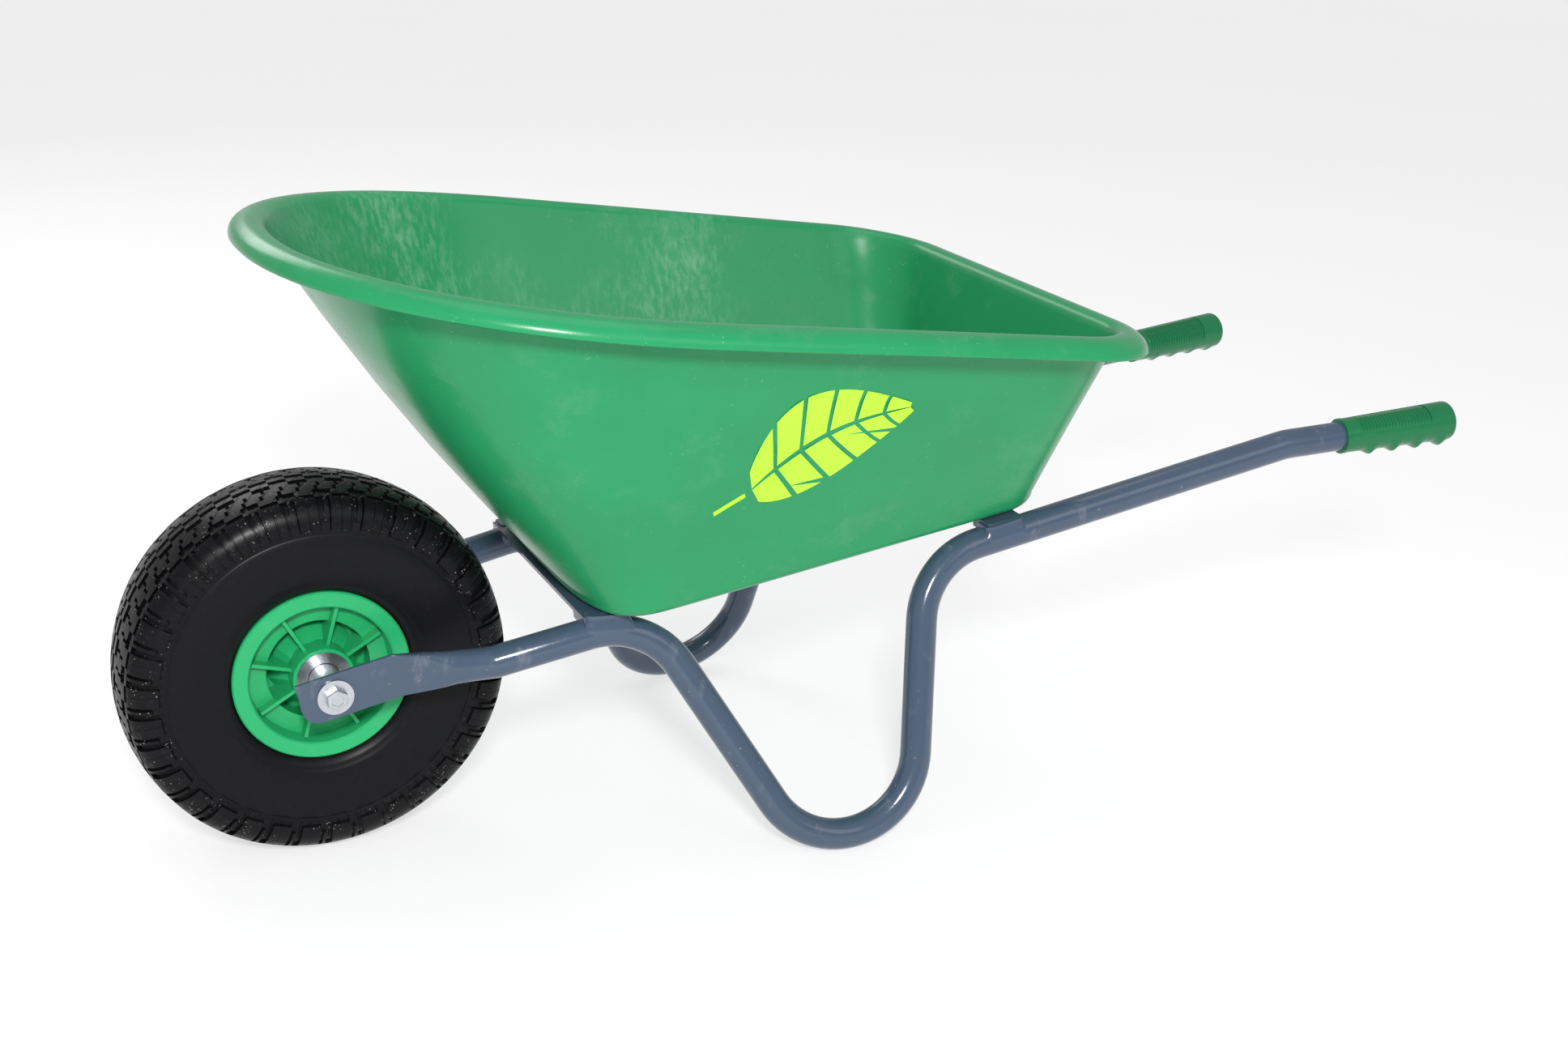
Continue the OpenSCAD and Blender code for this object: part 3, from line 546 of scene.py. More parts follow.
def tyre_shape(wheel):
    """The spun tyre with its raised tread."""
    profile, half, tread = tyre_profile(wheel)
    shape = bmesh.new()
    verts = [shape.verts.new((AXLE.x + r, y, AXLE.z)) for r, y in profile]
    edges = [shape.edges.new((a, b)) for a, b in zip(verts, verts[1:] + verts[:1])]
    steps = wheel.blocks * wheel.columns
    bmesh.ops.spin(shape, geom=verts + edges, cent=AXLE, axis=ACROSS, angle=2 * math.pi, steps=steps,
                   use_merge=True)
    bmesh.ops.remove_doubles(shape, verts=shape.verts, dist=1e-6)
    bmesh.ops.recalc_face_normals(shape, faces=shape.faces)

    first, last = half - tread, half + tread
    rows = last - first
    middles = [((profile[i][0] + profile[i + 1][0]) / 2, (profile[i][1] + profile[i + 1][1]) / 2)
               for i in range(first, last)]
    inner_r = TYRE_R - 10 * MM
    inner_y = 0.75 * TYRE_HALF

    def cell(face):
        """The row and the column of the tread that a face belongs to, or None."""
        centre = face.calc_center_median()
        radius = math.hypot(centre.x - AXLE.x, centre.z - AXLE.z)
        if radius < wheel.shoulder_r - 1 * MM or (radius < inner_r and abs(centre.y) < inner_y):
            return None
        away = [(radius - r) ** 2 + (centre.y - y) ** 2 for r, y in middles]
        row = away.index(min(away))
        if away[row] > (1 * MM) ** 2:
            return None
        turn = math.atan2(centre.z - AXLE.z, centre.x - AXLE.x) / (2 * math.pi) % 1
        return row, int(turn * steps) % wheel.columns

    lugs = []
    for face in shape.faces:
        found = cell(face)
        if found and tread_is_up(found[0], rows, found[1], wheel.columns):
            lugs.append(face)
    made = bmesh.ops.extrude_face_region(shape, geom=lugs)["geom"]
    core_r = TYRE_R - 42 * MM
    for vert in (v for v in made if isinstance(v, bmesh.types.BMVert)):
        spoke = Vector((vert.co.x - AXLE.x, 0, vert.co.z - AXLE.z))
        out = spoke.normalized() * ((spoke.length - core_r) / (TYRE_R - core_r) ** 2)
        out += ACROSS * (vert.co.y / TYRE_HALF ** 2)
        vert.co += out.normalized() * wheel.tread_up
    bmesh.ops.recalc_face_normals(shape, faces=shape.faces)
    return shape


class BARROW_OT_tyre(bpy.types.Operator):
    """Builds the tyre with its tread, and finishes the inner tube."""

    bl_idname = "barrow.tyre"
    bl_label = "Tyre"

    def execute(self, context):
        wheel = sizes(context, "wheel")
        colour = sizes(context, "finish").rubber
        make_piece("tyre_with_tread", tyre_shape(wheel), "wheel", tyre_rubber("tyre_rubber", colour, wheel),
                   math.radians(30), ["tyre"])
        rubber = soft_rubber("plain_rubber", colour, 0.6)
        for node in ("inner_tube", "valve_stem", "valve_cap"):
            finish_node(node, rubber)
        return {"FINISHED"}


# Wheel centre, bearings and axle


def hub_cone(side, wheel):
    """The eight-sided cone between the boss and the shelf of a wheel half."""
    foot_r, tip_r, cone_h = 32.5 * MM, 20 * MM, 17 * MM
    cone_y, edge_r = 12.5 * MM, 0.8 * MM
    shape = bmesh.new()
    cone = bmesh.ops.create_cone(shape, cap_ends=True, segments=8, radius1=foot_r, radius2=tip_r,
                                 depth=cone_h)["verts"]
    turn = Matrix.Rotation(-wheel.rib_turn, 4, "Z")
    stand = Matrix.Rotation(math.radians(90) * -side, 4, "X")
    middle = Matrix.Translation(AXLE + ACROSS * side * cone_y)
    bmesh.ops.transform(shape, matrix=middle @ stand @ turn, verts=cone)
    ring = [e for e in shape.edges if abs(e.verts[0].co.y - e.verts[1].co.y) < 1e-6]
    bmesh.ops.bevel(shape, geom=ring, offset=edge_r, segments=2, profile=0.5, affect="EDGES", material=-1)
    bmesh.ops.recalc_face_normals(shape, faces=shape.faces)
    return shape


class BARROW_OT_wheel_centre(bpy.types.Operator):
    """Finishes the two halves of the wheel centre, and builds the cones round their bosses."""

    bl_idname = "barrow.wheel_centre"
    bl_label = "Wheel centre"

    def execute(self, context):
        wheel = sizes(context, "wheel")
        plastic = moulded_plastic("hub_plastic", sizes(context, "finish").hub_green, 0.26, 9 * MM, 0.7)
        finish_node("rim_left", plastic)
        finish_node("rim_right", plastic)
        for side, name in ((-1, "hub_cone_left"), (1, "hub_cone_right")):
            make_piece(name, hub_cone(side, wheel), "wheel", plastic, math.radians(20))
        return {"FINISHED"}


def hex_bolt(middle, axis, head_w, head_t, shank_r, shank_len):
    """A bolt with a chamfered hexagon head, a dished top and a plain shank, from its washer face."""
    corner_r, chamfer = head_w / math.sqrt(3), head_t * 0.16
    margin, dish_w, dish_t = head_w * 0.16, head_w * 0.03, head_t * 0.10
    overlap = 0.2 * MM                              # of the shank in the head
    shape = bmesh.new()
    head = bmesh.ops.create_cone(shape, cap_ends=True, segments=6, radius1=corner_r, radius2=corner_r,
                                 depth=head_t)["verts"]
    bmesh.ops.translate(shape, verts=head, vec=(0, 0, head_t / 2))
    top = max(shape.faces, key=lambda f: f.calc_center_median().z)
    bmesh.ops.bevel(shape, geom=list(top.edges), offset=chamfer, segments=2, profile=0.5, affect="EDGES",
                    material=-1)
    top = max(shape.faces, key=lambda f: f.calc_center_median().z)
    bmesh.ops.inset_region(shape, faces=[top], thickness=margin)
    bmesh.ops.inset_region(shape, faces=[top], thickness=dish_w, depth=-dish_t)
    shank = bmesh.ops.create_cone(shape, cap_ends=True, segments=32, radius1=shank_r, radius2=shank_r,
                                  depth=shank_len)["verts"]
    bmesh.ops.translate(shape, verts=shank, vec=(0, 0, overlap - shank_len / 2))
    turn = UP.rotation_difference(axis).to_matrix().to_4x4()
    bmesh.ops.transform(shape, matrix=Matrix.Translation(middle) @ turn, verts=shape.verts)
    bmesh.ops.recalc_face_normals(shape, faces=shape.faces)
    return shape


class BARROW_OT_axle(bpy.types.Operator):
    """Builds the axle bolt, and finishes the bearings, the spacers, the washers and the screws."""

    bl_idname = "barrow.axle"
    bl_label = "Bearings and axle"

    def execute(self, context):
        zinc = plated_steel("zinc_plate", (0.58, 0.60, 0.63), 0.22)
        steel = plated_steel("bearing_steel", (0.55, 0.56, 0.58), 0.16)
        for node in ("bearing_cover_left", "bearing_cover_right", "spacer_left", "spacer_right", "axle_sleeve",
                     "axle_nut", "axle_washers", "rim_screws"):
            finish_node(node, zinc)
        for node in ("outer_race_left", "outer_race_right", "inner_race_left", "inner_race_right",
                     "bearing_balls_left", "bearing_balls_right"):
            finish_node(node, steel)
        low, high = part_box("axle_bolt")
        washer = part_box("axle_washers")[0].y
        bolt = hex_bolt(Vector((AXLE.x, washer, AXLE.z)), -ACROSS, 13 * MM, washer - low.y, 4 * MM, high.y - washer)
        make_piece("axle_bolt_with_head", bolt, "frame", zinc, replaced=["axle_bolt"])
        return {"FINISHED"}


# Side frames


def arc_points(centre, radius, start, end, step=math.radians(5)):
    """Points on an arc with the direction of travel at each, for a centreline in a plane."""
    count = max(2, math.ceil(abs(end - start) / step))
    side = 1 if end > start else -1
    found = []
    for i in range(count + 1):
        heading = start + (end - start) * i / count
        away = Vector((math.sin(heading), -math.cos(heading))) * side * radius
        found.append((centre + away, heading))
    return found


def heading_between(a, b):
    """Direction of the straight run that touches two bends, each (centre, radius, turn)."""
    gap = b[0] - a[0]
    return math.atan2(gap.y, gap.x) - math.asin((b[2] * b[1] - a[2] * a[1]) / gap.length)


def frame_bends(side):
    """The bends of a side frame's centreline in its plane, as (centre, radius, turn)."""
    leg_h = side.tube_r / math.cos(side.lean) + side.bend_r
    return [(Vector((0, TYRE_R / math.cos(side.lean))), 0, 1),
            (Vector((side.front_x, side.front_h)), side.bend_r, -1),
            (Vector((side.leg_x, leg_h)), side.bend_r, 1),
            (Vector((side.rear_x, side.rear_h)), side.bend_r, -1),
            (Vector((side.handle_x, side.handle_h)), side.bend_r, -1)]


def plane_to_space(side):
    """The matrix from the frame's plane, with its origin on the ground below the axle, to the row's frame."""
    stand = Matrix.Rotation(math.radians(90), 4, "X")
    place = Matrix.Translation((AXLE.x, side.half_track, 0))
    return place @ Matrix.Rotation(side.splay, 4, "Z") @ Matrix.Rotation(side.lean, 4, "X") @ stand


def frame_route(side):
    """Points on the centreline from where the tube is round to the handle's end, with their directions."""
    bends = frame_bends(side)
    headings = [heading_between(a, b) for a, b in zip(bends, bends[1:])] + [side.handle_slope]
    start = bends[0][0] + Vector((side.round_x, side.round_x * math.tan(headings[0])))
    route = [(start, headings[0])]
    for bend, before, after in zip(bends[1:], headings, headings[1:]):
        route += arc_points(bend[0], bend[1], before, after)
    end = route[-1][0] + Vector((math.cos(side.handle_slope), math.sin(side.handle_slope))) * side.handle_len
    return route + [(end, side.handle_slope)], headings[0]


ROUND, FLAT = 2, 9                  # powers of a tube's outline: an ellipse, and nearly a rectangle


def oval(middle, tall, thick, top, bottom, half_t, power, count=40):
    """A ring round middle, whose power says how square it is."""
    ring = []
    for i in range(count):
        angle = 2 * math.pi * i / count
        c, s = math.cos(angle), math.sin(angle)
        up = math.copysign(abs(c) ** (2 / power), c) * (top if c > 0 else bottom)
        out = math.copysign(abs(s) ** (2 / power), s) * half_t
        ring.append(middle + tall * up + thick * out)
    return ring


def flat_end_rings(side, slope, joint, tall_end, thick_end):
    """Rings from the flattened end's front to the point joint, where the tube is round."""
    ahead = Vector((math.cos(slope), 0, math.sin(slope)))
    tall = Vector((-math.sin(slope), 0, math.cos(slope)))
    eye = Vector((AXLE.x, side.flat_y, AXLE.z))
    half, corner = side.flat_half, 12 * MM
    rings = []
    for share in (0, 0.05, 0.15, 0.3, 0.5, 0.75, 1):
        x = -side.flat_front + corner * share
        bottom = half - corner + math.sqrt(max(0, corner ** 2 - (corner * (1 - share)) ** 2))
        rings.append(oval(eye + ahead * x, tall, ACROSS, half, bottom, side.flat_half_t, FLAT))
    crease = eye + ahead * side.flat_back
    before = eye + ahead * (side.flat_back - 1 * MM)
    rings.append(oval(before, tall, ACROSS, half, half, side.flat_half_t, FLAT))
    steps = 14                                      # rings between the flat end and the round tube
    for i in range(steps + 1):
        share = i / steps
        swell = 1 - (1 - share) ** 2.2
        middle = crease.lerp(joint, share)
        up = tall.lerp(tall_end, share).normalized()
        out = ACROSS.lerp(thick_end, share).normalized()
        top = half + (side.tube_r - half) * swell
        thick = side.flat_half_t + (side.tube_r - side.flat_half_t) * math.sin(share * math.pi / 2) ** 1.15
        rings.append(oval(middle, up, out, top, top, thick, FLAT - (FLAT - ROUND) * min(1, share * 1.8)))
    return rings[:-1]


def side_frame_rings(side):
    """All rings of the right side frame."""
    route, slope = frame_route(side)
    space = plane_to_space(side)
    turn = space.to_3x3()
    thick = -(turn @ Vector((0, 0, 1)))
    rings = []
    for point, heading in route:
        tall = turn @ Vector((-math.sin(heading), math.cos(heading), 0))
        rings.append(oval(space @ point.to_3d(), tall, thick, side.tube_r, side.tube_r, side.tube_r, ROUND))
    joint = space @ route[0][0].to_3d()
    tall = turn @ Vector((-math.sin(slope), math.cos(slope), 0))
    return flat_end_rings(side, slope, joint, tall, thick) + rings


def saddle_shape(side, strap, half_len):
    """The weld between a strap's right end and the tube below it, which flares out to the tube's sides."""
    low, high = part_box(strap)
    x = (low.x + high.x) / 2
    form_up = Vector(next(m for m in frame["record"]["mounts"] if m["name"] == "tray_floor")["axis"])
    route = [plane_to_space(side) @ point.to_3d() for point, _ in frame_route(side)[0]]
    lengths = [(a, b) for a, b in zip(route, route[1:]) if min(a.x, b.x) <= x <= max(a.x, b.x)]
    a, b = max(lengths, key=lambda pair: pair[0].z)
    middle = a.lerp(b, (x - a.x) / (b.x - a.x))
    along = (b - a).normalized()
    if along.x < 0:
        along.negate()
    sideways = form_up.cross(along).normalized()
    sink = 0.3 * MM                                 # of the weld's top below the strap's
    top = high.z - (high.x - middle.x) * -form_up.x / form_up.z - sink
    rise = (top - middle.z) * form_up.z
    shape = bmesh.new()
    rings = []
    steps = ((0.05, 1.0), (0.25, 0.99), (0.42, 0.95), (0.56, 0.88), (0.70, 0.82), (0.84, 0.78), (0.97, 0.76))
    for share, flare in steps:
        spot = middle + form_up * rise * share
        length = half_len * (0.74 + 1.5 * (flare - 0.76) ** 1.3)
        rings.append(oval(spot, along, sideways, length, length, side.tube_r * 1.02 * flare, 5, 48))
    loft(shape, rings)
    return shape, rings


class BARROW_OT_side_frames(bpy.types.Operator):
    """Builds the two bent tubes with their flattened ends, and finishes the straps."""

    bl_idname = "barrow.side_frames"
    bl_label = "Side frames"

    def execute(self, context):
        side = sizes(context, "side")
        paint = frame_paint("frame_paint", sizes(context, "finish").slate)
        rings = side_frame_rings(side)
        for node, points in (("side_frame_right", rings), ("side_frame_left", [to_left(r) for r in rings])):
            shape = bmesh.new()
            loft(shape, points)
            make_piece(node + "_tube", shape, "frame", paint, replaced=[node])
        for strap in ("front_strap", "rear_strap"):
            finish_node(strap, paint)
            shape, rings = saddle_shape(side, strap, 20 * MM)
            make_piece(strap + "_weld_right", shape, "frame", paint)
            mirrored = bmesh.new()
            loft(mirrored, [to_left(ring) for ring in rings])
            make_piece(strap + "_weld_left", mirrored, "frame", paint)
        return {"FINISHED"}


# Tray


class TrayForm:
    """The tray's outline at any height, from its sizes and its box."""

    nose_points = 61
    tail_points = 14

    def __init__(self, tray):
        self.tray = tray
        low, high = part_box("tray")
        self.nose_x = low.x
        self.tail_x = high.x
        self.floor_x = AXLE.x + tray.floor_x
        self.floor_end = AXLE.x + tray.floor_end
        mount = next(m for m in frame["record"]["mounts"] if m["name"] == "tray_floor")
        spot, normal = Vector(mount["pos_m"]), Vector(mount["axis"])
        self.floor_slope = -normal.x / normal.z
        self.floor_mid = spot.z - tray.wall
        self.nose_h = high.z - tray.crest_up - tray.rim_slope * tray.crest_in

    def floor_h(self, x):
        return self.floor_mid + self.floor_slope * x

    def rim_h(self, x):
        return self.nose_h + self.tray.rim_slope * (x - self.nose_x)

    def outline(self, level, inset):
        """Points round the tray at a height from 0, the floor, to 1, the rim, drawn in by inset."""
        tray = self.tray

        def between(a, b):
            return a + (b - a) * level

        front_w = between(tray.floor_front_w, tray.nose_w) - inset
        rear_w = between(tray.floor_rear_w, tray.tail_w) - inset
        front = between(self.floor_x, self.nose_x) + inset
        rear = between(self.floor_end, self.tail_x) - inset
        length = between(tray.floor_nose_len, tray.nose_len) - inset
        corner = max(between(tray.floor_tail_r, tray.tail_r) - inset, 2 * MM)
        power = between(tray.floor_power, tray.rim_power)
        points = []
        for i in range(self.nose_points):
            t = -math.pi / 2 + math.pi * i / (self.nose_points - 1)
            c, s = math.cos(t), math.sin(t)
            points.append((front + length * (1 - abs(c) ** power), -front_w * math.copysign(abs(s) ** power, s)))
        for sign in (-1, 1):
            for i in range(self.tail_points):
                t = math.pi / 2 * (i / (self.tail_points - 1) + (sign - 1) / 2)
                points.append((rear - corner + corner * math.cos(t), sign * (rear_w - corner) + corner * math.sin(t)))
        return points

    def ring(self, level, inset, up):
        """A ring of points at a level, raised by up."""
        return [Vector((x, y, self.floor_h(x) * (1 - level) + self.rim_h(x) * level + up))
                for x, y in self.outline(level, inset)]

    def rings(self):
        """All rings from the middle of the floor outside, over the rim and back inside."""
        tray = self.tray
        turn = [math.radians(a) for a in range(0, 91, 15)]
        edge, inner = tray.floor_edge_r, tray.floor_edge_r - tray.wall
        outer = [self.ring(0, edge * (1 - math.sin(a)), edge * (1 - math.cos(a))) for a in turn]
        levels = [0.2, 0.4, 0.6, 0.8]

        def rise(level, floor, rim):
            return floor * (1 - level) + rim * level

        outer += [self.ring(v, rise(v, 0, tray.lip_w), rise(v, edge, -tray.wall)) for v in levels]
        under = [self.ring(1, tray.lip_w, -tray.wall), self.ring(1, tray.crest_in, tray.crest_up - tray.wall),
                 self.ring(1, tray.wall + 3 * MM, -tray.wall + 1 * MM), self.ring(1, tray.wall, -tray.wall),
                 self.ring(1, tray.wall, -tray.lip_drop + 0.8 * MM), self.ring(1, tray.wall - 1 * MM, -tray.lip_drop),
                 self.ring(1, 0.8 * MM, -tray.lip_drop), self.ring(1, 0, -tray.lip_drop + 0.8 * MM)]
        bow = tray.lip_drop + tray.crest_up - 0.8 * MM
        lip_turn = [math.radians(a) for a in range(9, 91, 9)]
        lip = [self.ring(1, tray.crest_in * (1 - math.cos(a)), bow * math.sin(a) - tray.lip_drop + 0.8 * MM)
               for a in lip_turn]
        crest_turn = [math.radians(a) for a in range(10, 61, 10)]
        crest = [self.ring(1, tray.crest_in + tray.crest_r * math.sin(a),
                           tray.crest_up - tray.crest_r * (1 - math.cos(a))) for a in crest_turn]
        top_in = tray.lip_w + tray.wall
        down = [self.ring(1, top_in, -tray.wall)]
        down += [self.ring(v, rise(v, tray.wall, top_in), rise(v, edge, -tray.wall)) for v in reversed(levels)]
        floor = [self.ring(0, tray.wall + inner * (1 - math.sin(a)), tray.wall + inner * (1 - math.cos(a)))
                 for a in reversed(turn)]
        return outer + under + lip + crest + down + floor


class BARROW_OT_tray(bpy.types.Operator):
    """Builds the moulded tray with its rolled rim."""

    bl_idname = "barrow.tray"
    bl_label = "Tray"

    def execute(self, context):
        form = TrayForm(sizes(context, "tray"))
        shape = bmesh.new()
        loft(shape, form.rings())
        plastic = moulded_plastic("tray_plastic", sizes(context, "finish").tray_green, 0.22, 55 * MM, 1.0, True)
        make_piece("tray_shell", shape, "frame", plastic, math.radians(50), ["tray"])
        return {"FINISHED"}


class BARROW_OT_tray_bolts(bpy.types.Operator):
    """Finishes the four bolts that hold the tray on its straps, with their washers and nuts."""

    bl_idname = "barrow.tray_bolts"
    bl_label = "Tray bolts"

    def execute(self, context):
        zinc = bpy.data.materials["zinc_plate"]
        for node in ("tray_bolts", "tray_nuts", "tray_washers"):
            finish_node(node, zinc)
        return {"FINISHED"}


# Leaf sticker


def leaf_shape(form, sticker):
    """A flat generic leaf on the left wall: two halves that a midrib parts, with side veins left open."""
    shape = bmesh.new()
    tray = form.tray
    centre, level, length, width = AXLE.x + sticker.behind_axle, sticker.level, sticker.length, sticker.width
    wall_h = form.rim_h(centre) - form.floor_h(centre)
    turn = Matrix.Rotation(sticker.tilt, 2)
    sweep = 0.06                                    # how far the wall leads it back for its height
    proud = 0.35 * MM

    def on_wall(point):
        along, height = turn @ Vector(point)
        spot = level + height / wall_h
        x = centre + along + height * sweep
        start = form.nose_x + (form.floor_x - form.nose_x) * (1 - spot)
        front_w = tray.floor_front_w + (tray.nose_w - tray.floor_front_w) * spot
        rear_w = tray.floor_rear_w + (tray.tail_w - tray.floor_rear_w) * spot
        from_x = start + tray.floor_nose_len + (tray.nose_len - tray.floor_nose_len) * spot
        to_x = form.floor_end + (form.tail_x - form.floor_end) * spot - tray.tail_r
        share = (x - from_x) / (to_x - from_x)
        lift = tray.floor_edge_r * (1 - spot) - tray.wall * spot
        inset = tray.lip_w * spot
        z = form.floor_h(x) * (1 - spot) + form.rim_h(x) * spot + lift
        return Vector((x, -(front_w + (rear_w - front_w) * share - inset) - proud, z))

    def on_leaf(u, v):
        """u runs from the stalk, 0, to the tip, 1, and v from the midrib, 0, to the edge, 1 or -1."""
        half = width / 2 * math.sin(math.pi * u ** 0.8) ** 0.85
        bow = 0.10 * length * math.sin(math.pi * u)
        return on_wall(((u - 0.5) * length, v * half + bow))

    veins, steps = sticker.veins, 6
    stem, span, gap = 0.03, 0.94, 0.012             # where the fields start, their room, and half a vein
    shift, midrib = 0.10, 0.06                      # slant of the veins, and half the midrib
    for side in (-1, 1):
        for k in range(veins):
            start, end = stem + span * k / veins + gap, stem + span * (k + 1) / veins - gap
            grid = bmesh.ops.create_grid(shape, x_segments=steps, y_segments=steps, size=1)["verts"]
            for vert in grid:
                across = (vert.co.y + 1) / 2
                u = start + (end - start) * (vert.co.x + 1) / 2
                u += shift * across * math.sin(math.pi * u)
                vert.co = on_leaf(min(max(u, 0.0), 0.995), side * (midrib + (1 - midrib) * across))
    stalk = bmesh.ops.create_grid(shape, x_segments=4, y_segments=1, size=1)["verts"]
    stalk_len, stalk_w = 0.09, 1.6 * MM             # half of each, the length as a share of the leaf's
    for vert in stalk:
        vert.co = on_wall((-length * (0.5 + stalk_len * (vert.co.x + 1)), vert.co.y * stalk_w))
    bmesh.ops.recalc_face_normals(shape, faces=shape.faces)
    for face in shape.faces:
        if face.normal.y > 0:
            face.normal_flip()
    bmesh.ops.solidify(shape, geom=shape.faces, thickness=0.25 * MM)
    bmesh.ops.recalc_face_normals(shape, faces=shape.faces)
    return shape


class BARROW_OT_sticker(bpy.types.Operator):
    """Builds the lime leaf sticker on the left wall."""

    bl_idname = "barrow.sticker"
    bl_label = "Leaf sticker"

    def execute(self, context):
        form = TrayForm(sizes(context, "tray"))
        shape = leaf_shape(form, sizes(context, "sticker"))
        vinyl = moulded_plastic("sticker_vinyl", sizes(context, "finish").lime, 0.35, 20 * MM, 0.5)
        make_piece("leaf_sticker", shape, "frame", vinyl)
        return {"FINISHED"}


# Grips


def grip_rings(grip, side):
    """Rings of the right grip: ridges above, finger bumps below and a rounded closed end."""
    route, _ = frame_route(side)
    space = plane_to_space(side)
    turn = space.to_3x3()
    point, heading = route[-2]
    ahead = turn @ Vector((math.cos(heading), math.sin(heading), 0))
    tall = turn @ Vector((-math.sin(heading), math.cos(heading), 0))
    thick = -(turn @ Vector((0, 0, 1)))
    start = space @ point.to_3d() + ahead * (side.handle_len - grip.length)
    total = grip.length + grip.cap
    pitch, ridge_h = 2.8 * MM, 1.1 * MM
    ridged_from, ridged_to = 12 * MM, 12 * MM + grip.ridges * pitch
    side_to, side_h = ridged_from + 4 * pitch, 0.5 * MM         # the short ridges on the sides
    collar, collar_h = 3 * MM, 0.35 * MM
    first_finger, finger_gap, finger_half, finger_h = 24 * MM, 20.6 * MM, 7 * MM, 3.2 * MM
    end_round = 3 * MM
    around = 64
    step = pitch / 8
    rings = []
    for k in range(int((total - end_round) / step) + 1):
        z = k * step
        body_r = grip.front_r + (grip.end_r - grip.front_r) * z / grip.length
        if z < collar:
            body_r += collar_h
        finger = 0.0
        for tooth in range(grip.fingers):
            peak = first_finger + tooth * finger_gap
            finger = max(finger, 1 - abs(z - peak) / finger_half)
        finger = finger ** 1.3 * finger_h
        ridge = 0.0
        if ridged_from < z < ridged_to:
            ridge = max(0.0, math.sin(2 * math.pi * (z - ridged_from) / pitch)) ** 0.5
        low_ridge = ridge if z < side_to else 0.0
        ring = []
        for i in range(around):
            angle = 2 * math.pi * i / around
            up, out = math.cos(angle), math.sin(angle)
            on_top = min(1.0, max(0.0, (up - 0.12) * 8))
            on_side = min(1.0, max(0.0, (up + 0.45) * 10)) * min(1.0, max(0.0, (-0.05 - up) * 10))
            r = body_r - ridge_h * (1 - ridge) * on_top * (ridged_from < z < ridged_to)
            r -= side_h * (1 - low_ridge) * on_side * (ridged_from < z < side_to)
            r += finger * max(0.0, -up) ** 3
            ring.append(start + ahead * z + tall * r * up + thick * r * out)
        rings.append(ring)
    for i in range(7):
        a = math.radians(15 * i)
        r = grip.end_r - end_round * (1 - math.cos(a))
        z = total - end_round * (1 - math.sin(a))
        rings.append([start + ahead * z + tall * r * math.cos(2 * math.pi * k / around)
                      + thick * r * math.sin(2 * math.pi * k / around) for k in range(around)])
    mouth = [p + (start - p) * 0.08 for p in rings[0]]
    return [mouth] + rings


class BARROW_OT_grips(bpy.types.Operator):
    """Builds the two moulded grips."""

    bl_idname = "barrow.grips"
    bl_label = "Grips"

    def execute(self, context):
        rings = grip_rings(sizes(context, "grip"), sizes(context, "side"))
        plastic = moulded_plastic("grip_plastic", sizes(context, "finish").grip_green, 0.13, 12 * MM, 0.25)
        for node, points in (("grip_right", rings), ("grip_left", [to_left(r) for r in rings])):
            shape = bmesh.new()
            loft(shape, points)
            make_piece(node + "_moulded", shape, "frame", plastic, replaced=[node])
        return {"FINISHED"}


# Stage


CAMERA_AT = (-0.6152, -1.2536, 0.6837)
CAMERA_TURN = (25.96, 19.65, 2.18)      # degrees of yaw to the right, of pitch down and of roll
FLOOR_GLOW = 0.64                       # own light of the floor, which keeps it pale


def add_light(name, place, target, power, size, colour=(1, 1, 1)):
    """A soft square light that faces a point."""
    data = bpy.data.lights.new(name, "AREA")
    data.energy = power
    data.size = size
    data.color = colour
    light = bpy.data.objects.new(name, data)
    light.location = place
    light.rotation_euler = (Vector(target) - Vector(place)).to_track_quat("-Z", "Y").to_euler()
    bpy.context.scene.collection.objects.link(light)


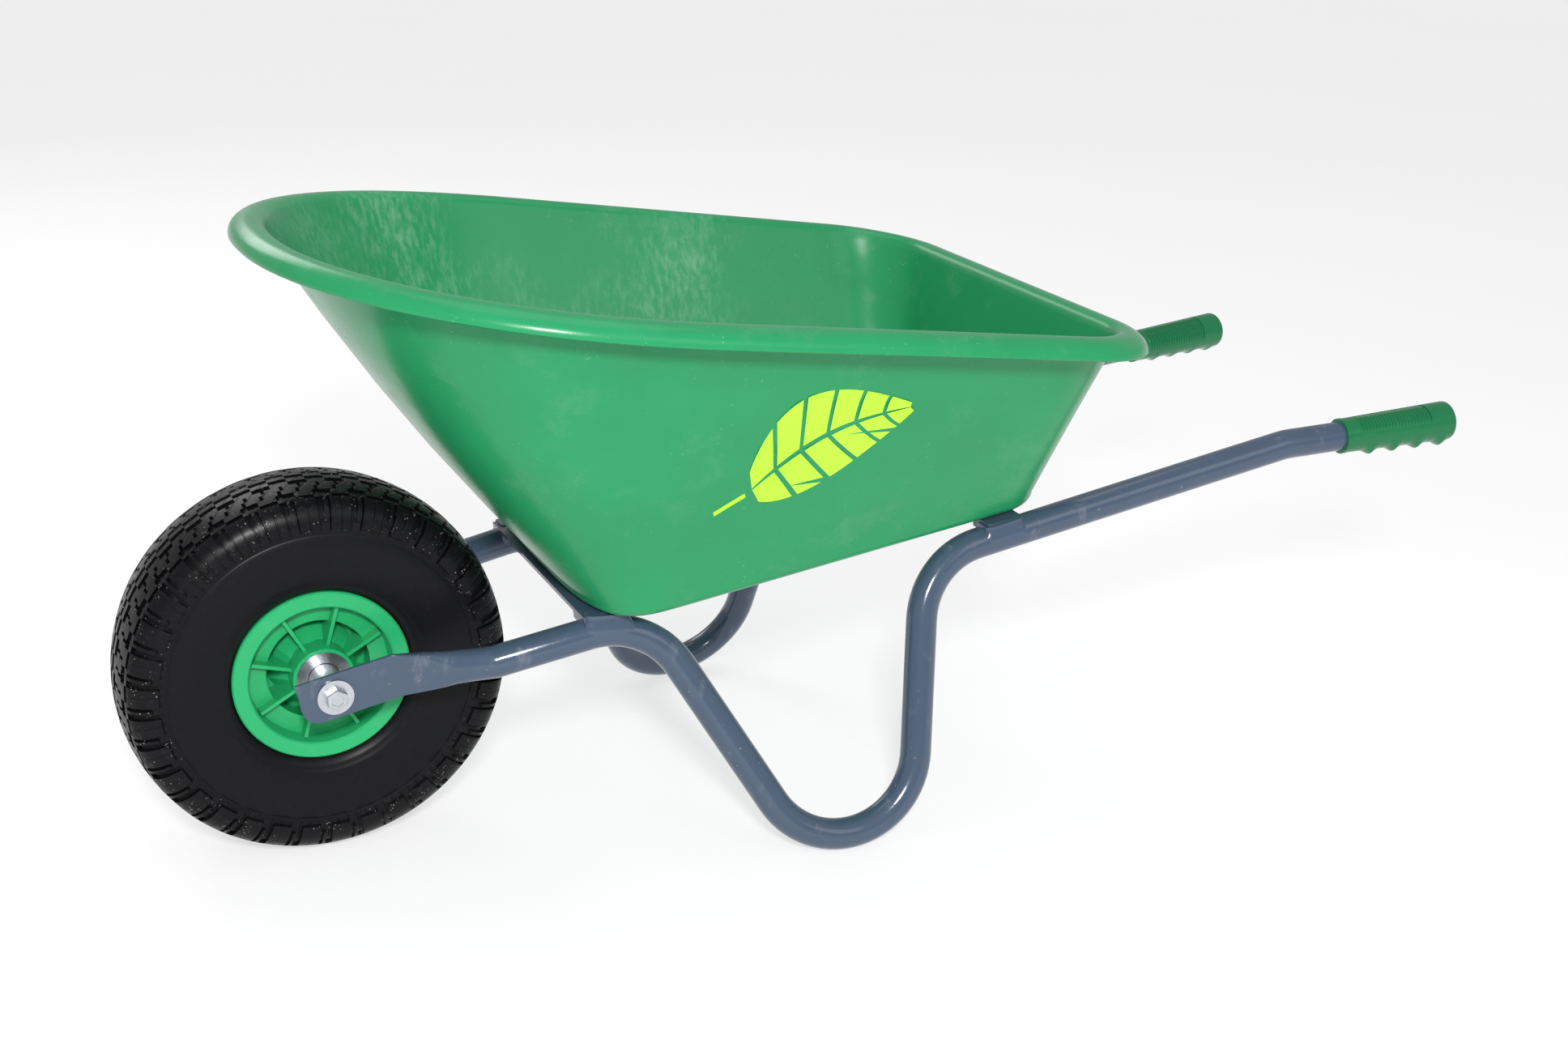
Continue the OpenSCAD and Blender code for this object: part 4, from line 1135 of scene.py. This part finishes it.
class BARROW_OT_stage(bpy.types.Operator):
    """Builds the camera, the pale floor and the soft studio light."""

    bl_idname = "barrow.stage"
    bl_label = "Stage"

    def execute(self, context):
        finish = sizes(context, "finish")
        scene = context.scene
        scene.view_settings.view_transform = "Standard"
        yaw, pitch, roll = (math.radians(a) for a in CAMERA_TURN)
        right = Vector((math.cos(yaw), -math.sin(yaw), 0))
        ahead = Vector((math.sin(yaw) * math.cos(pitch), math.cos(yaw) * math.cos(pitch), -math.sin(pitch)))
        up = right.cross(ahead)
        level = Matrix((right * math.cos(roll) + up * math.sin(roll), up * math.cos(roll) - right * math.sin(roll),
                        -ahead)).transposed()
        data = bpy.data.cameras.new("camera")
        data.lens = finish.lens
        data.sensor_width = 36
        camera = bpy.data.objects.new("camera", data)
        camera.matrix_world = Matrix.Translation(CAMERA_AT) @ level.to_4x4()
        scene.collection.objects.link(camera)
        scene.camera = camera

        shape = bmesh.new()
        bmesh.ops.create_grid(shape, x_segments=8, y_segments=8, size=30)
        mesh = bpy.data.meshes.new("floor")
        shape.to_mesh(mesh)
        shape.free()
        floor = bpy.data.objects.new("floor", mesh)
        paint = Paint("pale_floor")
        tone = paint.blend(paint.noise(0.8, 3), (0.35, 0.35, 0.35, 1), (0.38, 0.38, 0.38, 1))
        mesh.materials.append(paint.finish(Base_Color=tone, Roughness=0.8, Emission_Color=(1, 1, 1, 1),
                                           Emission_Strength=FLOOR_GLOW))
        scene.collection.objects.link(floor)

        world = bpy.data.worlds.new("studio")
        world.use_nodes = True
        sky = world.node_tree.nodes["Background"]
        sky.inputs["Color"].default_value = (1, 1, 1, 1)
        sky.inputs["Strength"].default_value = finish.sky
        scene.world = world
        key = finish.key_light
        add_light("key", (-0.75, -1.75, 1.25), (0, 0, 0.2), key * 1.1, 0.25)
        add_light("fill", (0.9, -2.4, 1.8), (0.1, 0, 0.25), key * 0.2, 1.2)
        add_light("top", (0.1, 0.3, 2.6), (0, 0, 0.2), key * 0.25, 1.6)
        add_light("back", (-0.6, 2.1, 1.5), (0, 0, 0.2), key * 0.3, 1.0)
        return {"FINISHED"}


class BARROW_PT_sidebar(bpy.types.Panel):
    """Lists the steps that build the wheelbarrow."""

    bl_idname = "BARROW_PT_sidebar"
    bl_label = "Garden wheelbarrow"
    bl_space_type = "VIEW_3D"
    bl_region_type = "UI"
    bl_category = "Barrow"

    def draw(self, context):
        for step in STEPS:
            self.layout.operator(step.bl_idname)


STEPS = (BARROW_OT_stage, BARROW_OT_tyre, BARROW_OT_wheel_centre, BARROW_OT_axle, BARROW_OT_side_frames,
         BARROW_OT_tray, BARROW_OT_tray_bolts, BARROW_OT_sticker, BARROW_OT_grips)
CLASSES = tuple(GROUPS.values()) + STEPS + (BARROW_PT_sidebar,)


def register():
    for kind in CLASSES:
        bpy.utils.register_class(kind)
    for name, kind in GROUPS.items():
        setattr(bpy.types.Scene, "barrow_" + name, PointerProperty(type=kind))


def unregister():
    for name in GROUPS:
        delattr(bpy.types.Scene, "barrow_" + name)
    for kind in reversed(CLASSES):
        bpy.utils.unregister_class(kind)


def main():
    """Builds every piece in order."""
    register()
    for step in STEPS:
        group, name = step.bl_idname.split(".")
        getattr(getattr(bpy.ops, group), name)()


if __name__ == "__main__":
    main()
